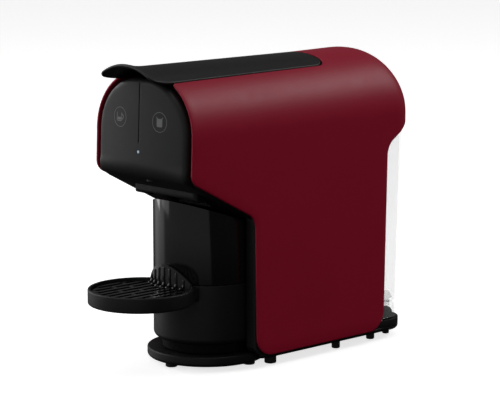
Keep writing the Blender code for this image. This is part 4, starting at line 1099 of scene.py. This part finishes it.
def fan():
    rows, steps, low = [], 40, GRATE_TOP_Z - 0.0022
    for k in range(steps + 1):
        turn = math.asin(FAN_HALF_WIDTH * (2 * k / steps - 1) / FAN_RADIUS)
        a, b = math.sin(turn), -math.cos(turn)
        crest = max(fan_z(FAN_RADIUS * a), GRATE_TOP_Z + 0.0003)
        inner, outer = ((radius * a, radius * b) for radius in (FAN_RADIUS, FAN_RADIUS + FAN_THICK))
        rows.append([(*inner, low), (*inner, crest), (*outer, crest), (*outer, low)])
    return loft(rows)


plate_radius = TRAY_RADIUS - TRAY_WALL - 0.0006
grate = new_object("cup_grate", rod(plate_radius, GRATE_TOP_Z - 0.0022, GRATE_TOP_Z, 0, TRAY_Y, steps=128))
add(grate, fan())
combine(grate, rod(COLUMN_RADIUS + 0.0007, 0, 0.2, steps=160))
slots = []
for row in range(-4, 5):
    across = row * SLOT_PITCH
    reach = math.sqrt(max(0.0, (plate_radius - 0.0035) ** 2 - across**2))
    rear = min(TRAY_Y + reach, -math.sqrt((COLUMN_RADIUS + 0.0065) ** 2 - across**2))
    split = (TRAY_Y - reach + rear) / 2 + (BRIDGE_SHIFT if row % 2 == 0 else -BRIDGE_SHIFT)
    for start, end in ((TRAY_Y - reach, split - BRIDGE_HALF), (split + BRIDGE_HALF, rear)):
        if end - start > 0.006:
            slots.append(box((across - SLOT_HALF, across + SLOT_HALF), (start, end), (0.05, 0.0695)))
combine(grate, joined(*slots))
soften(grate, 0.0005, 3, 50)
settle(grate, GRATE, "grid", ["tray_grid"])
for row in range(-3, 4):
    across = row * SLOT_PITCH * RIB_SPREAD
    back = -math.sqrt((FAN_RADIUS + FAN_THICK) ** 2 - across**2)
    crest = fan_z(across) - 0.0018
    front_y = back - RIB_DEPTH
    foot = min(RIB_FOOT, crest - GRATE_TOP_Z - 0.001)
    side = [(back + 0.0008, GRATE_TOP_Z - 0.0006), (front_y - foot - 0.001, GRATE_TOP_Z - 0.0006)]
    side += arc(front_y - foot, GRATE_TOP_Z + 0.0006 + foot, foot, -90, 0, 8)
    side += arc(front_y + 0.0008, crest - 0.0008, 0.0008, 180, 90, 4) + [(back + 0.0008, crest)]
    rib = new_object(f"fan_rib_{row + 4}", prism(side, across - RIB_HALF, across + RIB_HALF, "X"))
    settle(soften(rib, 0.0005, 3, 50), GRATE, "grid", ())

# %% [markdown]
# The tank is a clear, slightly tapered box with rounded corners, a slanted brim, a
# raised floor and a skirt below it. It is lofted in one go: out over the skirt, up
# the outside, over the brim and down the inside.

# %% Water tank
TANK_LOW_Z, TANK_FLOOR_Z, TANK_TOP_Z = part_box("water_tank")[0].z, 0.028, 0.1810
TANK_HALF_WIDTH, TANK_TOP_HALF_WIDTH, TANK_TOP_REAR_Y = 0.0538, 0.0555, 0.1915
TANK_TOP_SLOPE, TANK_WALL = 0.200, 0.002
BRIM_RISE, BRIM_RUN = TANK_TOP_SLOPE * (TANK_REAR_Y - TANK_FRONT_Y) + 0.0039, 0.21 - TANK_FRONT_Y
BRIM_REAR_Y, BRIM_REAR_Z = 0.2, TANK_TOP_Z + 0.0021


def tank_ring(inset, z, sloped=False, lift=0.0):
    """The tank's outline at a height, moved in. A sloped one lies in the plane of the brim."""
    t = (z - TANK_LOW_Z) / (TANK_TOP_Z - TANK_LOW_Z)
    width = TANK_HALF_WIDTH + (TANK_TOP_HALF_WIDTH - TANK_HALF_WIDTH) * t
    rear = TANK_REAR_Y + (TANK_TOP_REAR_Y - TANK_REAR_Y) * t
    reach = (TANK_FRONT_Y + inset, rear - inset)
    outline = plan(width - inset, reach, 0.006 - inset, 0.025 - 0.002 * t - inset, 12)
    if not sloped:
        return [(x, y, z) for x, y in outline]
    return [(x, y, BRIM_REAR_Z + lift - (BRIM_REAR_Y - y) * BRIM_RISE / BRIM_RUN) for x, y in outline]


w, low, floor_z = TANK_WALL, TANK_LOW_Z, TANK_FLOOR_Z
rings = [tank_ring(w + 0.002, floor_z), tank_ring(w, floor_z - 0.0015), tank_ring(w, low + 0.0006)]
rings += [tank_ring(w - 0.0006, low), tank_ring(0.0006, low), tank_ring(0, low + 0.0006), tank_ring(0, 0.1)]
rings += [tank_ring(0, TANK_TOP_Z, True, -0.0006), tank_ring(0.0006, TANK_TOP_Z, True)]
rings += [tank_ring(w - 0.0006, TANK_TOP_Z, True), tank_ring(w, TANK_TOP_Z, True, -0.0006)]
rings += [tank_ring(w, 0.1), tank_ring(w, floor_z + w + 0.003), tank_ring(w + 0.0008, floor_z + w + 0.0008)]
rings += [tank_ring(w + 0.003, floor_z + w)]
tank = new_object("clear_tank", loft(rings), 40)
VALVE = middle("tank_valve") - Vector((0, COLUMN_Y, 0))
combine(tank, rod(0.0036, 0.02, 0.04, VALVE.x, VALVE.y, steps=40))
settle(tank, CLEAR, "tank", ["water_tank"])

# %% [markdown]
# The lid is a flat loft over the brim. The valve sits in the hole in the tank's
# floor, and the coupler on the base opens it. Both are turned about one axis.

# %% Tank lid, valve and coupler
lid_rings = [tank_ring(0.0006, TANK_TOP_Z, True, 0.0005), tank_ring(0, TANK_TOP_Z, True, 0.0009)]
lid_rings += [tank_ring(0, TANK_TOP_Z, True, 0.0017), tank_ring(0.0006, TANK_TOP_Z, True, 0.0022)]
settle(new_object("lid", loft(lid_rings)), BLACK, "tank", ["tank_lid"])
low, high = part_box("tank_valve")[0].z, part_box("tank_valve")[1].z
profile = [(0, low), (0.0030, low), (0.0030, high - 0.006)] + arc(0.0048, high - 0.0052, 0.0004, -90, 90, 5)
profile += [(0.0040, high - 0.0030), (0.0026, high - 0.0006), (0.0018, high), (0, high)]
valve = new_object("valve", turned(profile, VALVE.x, VALVE.y, steps=48))
settle(valve, FROST, "valve", ["tank_valve"])
low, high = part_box("tank_coupler")[0].z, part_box("tank_coupler")[1].z
COUPLER_RADIUS, DOME_LOW_Z = 0.0056, 0.0190
turns = [math.pi / 2 * k / 10 for k in range(10)]
profile = [(0, low), (COUPLER_RADIUS, low)]
profile += [(COUPLER_RADIUS * math.cos(a), DOME_LOW_Z + (high - DOME_LOW_Z) * math.sin(a)) for a in turns]
coupler = new_object("coupler", turned(profile + [(0, high)], VALVE.x, VALVE.y, steps=64))
settle(coupler, BLACK, "machine", ["tank_coupler"])

# %% [markdown]
# What works inside keeps its CAD shape, because that shape is right: brackets,
# axle, links, brew unit, pump, heater, hoses and boards. Each gets its own finish,
# and all but the hoses a small bevel that catches the light when the lever is up
# or the drawer out.

# %% Inner parts
INNER = {
    BLACK: ["capsule_port", "coffee_spout"],
    STEEL: ["lever_bracket", "lever_axle", "needle_plate", "piston_pin", "link_left", "link_right"]
    + ["vibration_pump"] + [f"base_screw_{n}" for n in (1, 2, 3, 4)],
    GREY: ["brew_frame", "brew_head", "piston", "flow_meter", "switch_left", "switch_right"],
    ALLOY: ["thermoblock"],
    COPPER: ["pump_coil"],
    RUBBER: ["pump_mount_lower", "pump_mount_upper"],
    MILKY: ["hose_tank", "hose_pump"],
    WHITE: ["hose_pressure", "hose_brew"],
    BOARD: ["control_board", "power_board"],
}
for material, names in INNER.items():
    for name in names:
        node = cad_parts[name]
        node.data.materials.clear()
        node.data.materials.append(material)
        node.data.shade_smooth()
        node.data.set_sharp_from_angle(angle=math.radians(35))
        if not name.startswith("hose"):
            soften(node, 0.00025, 2, 40, keep_live=True)
    print(material.name, "on", len(names), "inner parts")

# %% [markdown]
# A plain pale floor, soft light from above and behind, and a long lens, so that
# the machine is seen with little perspective. The floor is left out of the
# machine's reflections, which keeps the black mouldings black underneath. A ring
# wall stands far out, so that a low view ends in pale grey too. The machine gets
# no light and no reflection from it.

# %% Floor and ring wall
def studio_piece(name, points, faces, material):
    mesh = bpy.data.meshes.new(name)
    mesh.from_pydata(points, [], faces)
    made = bpy.data.objects.new(name, mesh)
    bpy.context.scene.collection.objects.link(made)
    made.data.materials.append(material)
    made.visible_glossy = False
    made.visible_diffuse = False
    return made


FLOOR_REACH, FLOOR_Z, FLOOR_GLOW = 12.0, -0.0002, 0.72
WALL_REACH, WALL_HEIGHT, WALL_STEPS = 11.5, 9.0, 96
lit = {"Emission Color": (1.0, 1.0, 1.0, 1.0), "Emission Strength": FLOOR_GLOW}
floor_paint = finish("pale_floor", (0.86, 0.86, 0.86), 0.8, 0.01, 0.02, 40, 0.0002, **lit)
lit["Emission Strength"] = 1.0
wall_paint = finish("pale_backdrop", (0.1, 0.1, 0.1), 0.9, 0.01, 0.02, 40, 0.0002, **lit)
corners = [(a * FLOOR_REACH, b * FLOOR_REACH, FLOOR_Z) for a, b in ((-1, -1), (1, -1), (1, 1), (-1, 1))]
floor = studio_piece("floor", corners, [(0, 1, 2, 3)], floor_paint)
turns = [math.tau * k / WALL_STEPS for k in range(WALL_STEPS)]
circle = [(WALL_REACH * math.cos(a), WALL_REACH * math.sin(a)) for a in turns]
points = [(*place, z) for z in (-0.01, WALL_HEIGHT) for place in circle]
after = [(k + 1) % WALL_STEPS for k in range(WALL_STEPS)]
panels = [(k, after[k], after[k] + WALL_STEPS, k + WALL_STEPS) for k in range(WALL_STEPS)]
backdrop = studio_piece("backdrop", points, panels, wall_paint)
backdrop.visible_shadow = False

# %% [markdown]
# The camera looks a little down on the machine from its right front. It stands far
# off behind a long lens, and it aims beside the machine's middle.

# %% Camera
VIEW_TURN, VIEW_RISE = math.radians(46.29), math.radians(9.75)
VIEW_DISTANCE, LENS_MM = 1.8584, 161.64
AIM_ASIDE, AIM_Z = 0.03583, 0.1345
TO_RIGHT = Vector((math.cos(VIEW_TURN), math.sin(VIEW_TURN), 0))
flat = math.cos(VIEW_RISE)
TO_VIEWER = Vector((math.sin(VIEW_TURN) * flat, -math.cos(VIEW_TURN) * flat, math.sin(VIEW_RISE)))
AIM = TO_RIGHT * AIM_ASIDE + Vector((0, COLUMN_Y, AIM_Z))
lens = bpy.data.cameras.new("camera")
lens.lens = LENS_MM
lens.sensor_width = 36
lens.clip_start, lens.clip_end = 0.05, 60
camera = bpy.data.objects.new("camera", lens)
bpy.context.scene.collection.objects.link(camera)
camera.location = AIM + TO_VIEWER * VIEW_DISTANCE
camera.rotation_euler = TO_VIEWER.to_track_quat("Z", "Y").to_euler()
bpy.context.scene.camera = camera

# %% [markdown]
# Seven soft boxes light the machine. Three of them only fill its shaded sides, and
# polished parts don't mirror them.

# %% Lights
AIMED_AT = Vector((0, 0, 0.13))
SOFTBOXES = {
    # place, width and height, watts, seen in reflections
    "overhead": ((0.2, 0.1, 2.5), (2.4, 2.4), 11, True),
    "rear_top": ((0.80, 1.62, 1.62), (1.0, 1.0), 13, True),
    "left_front": ((-1.6, -1.3, 0.9), (1.0, 1.4), 4, True),
    "left_edge": ((-2.2, -0.35, 0.7), (0.8, 1.2), 8, True),
    "right_low": ((2.19, 0.19, 0.6), (0.5, 0.6), 5, False),
    "front_fill": ((-1.1, -2.0, 0.5), (1.2, 1.2), 13, False),
    "side_fill": ((1.9, -1.0, 0.5), (1.8, 1.8), 2, False),
}
for name, (place, size, watts, mirrored) in SOFTBOXES.items():
    light = bpy.data.lights.new(name, "AREA")
    light.shape = "RECTANGLE"
    light.size, light.size_y = size
    light.energy = watts
    softbox = bpy.data.objects.new(name, light)
    bpy.context.scene.collection.objects.link(softbox)
    softbox.location = place
    softbox.rotation_euler = (AIMED_AT - Vector(place)).to_track_quat("-Z", "Y").to_euler()
    softbox.visible_glossy = mirrored

# %% [markdown]
# The room itself is a dim grey ring: pale at the left, as a reflector there would
# make it, grey in front and almost dark at the right. Its one sharp edge gives the
# polished bin its vertical reflection. Below the horizon it fades to dark.

# %% Room
# The direction in degrees, from behind over the left, the front and the right, and the grey there.
TONES = [(-180, 0.05), (-134, 0.09), (-108, 0.05), (-88, 0.75), (-60, 0.75)]
TONES += [(-52, 0.25), (57.5, 0.25), (58.5, 0.035), (180, 0.05)]
world = bpy.data.worlds.new("studio")
bpy.context.scene.world = world
world.use_nodes = True
nodes, links = world.node_tree.nodes, world.node_tree.links
apart = nodes.new("ShaderNodeSeparateXYZ")
links.new(nodes.new("ShaderNodeTexCoord").outputs["Generated"], apart.inputs[0])
back = nodes.new("ShaderNodeMath")
back.operation = "MULTIPLY"
back.inputs[1].default_value = -1.0
links.new(apart.outputs["Y"], back.inputs[0])
turn = nodes.new("ShaderNodeMath")
turn.operation = "ARCTAN2"
links.new(apart.outputs["X"], turn.inputs[0])
links.new(back.outputs[0], turn.inputs[1])
share = nodes.new("ShaderNodeMapRange")
share.inputs["From Min"].default_value = -math.pi
share.inputs["From Max"].default_value = math.pi
links.new(turn.outputs[0], share.inputs["Value"])
ring = nodes.new("ShaderNodeValToRGB")
for at, level in TONES[1:-1]:
    ring.color_ramp.elements.new((at + 180) / 360)
for element, (at, level) in zip(ring.color_ramp.elements, TONES):
    element.position = (at + 180) / 360
    element.color = (level, level, level, 1)
links.new(share.outputs["Result"], ring.inputs["Fac"])
links.new(ring.outputs["Color"], nodes["Background"].inputs["Color"])
below = nodes.new("ShaderNodeMapRange")
below.inputs["From Min"].default_value = -0.5
below.inputs["From Max"].default_value = -0.05
below.inputs["To Min"].default_value = 0.05
links.new(apart.outputs["Z"], below.inputs["Value"])
links.new(below.outputs["Result"], nodes["Background"].inputs["Strength"])
bpy.context.scene.view_settings.view_transform = "Standard"
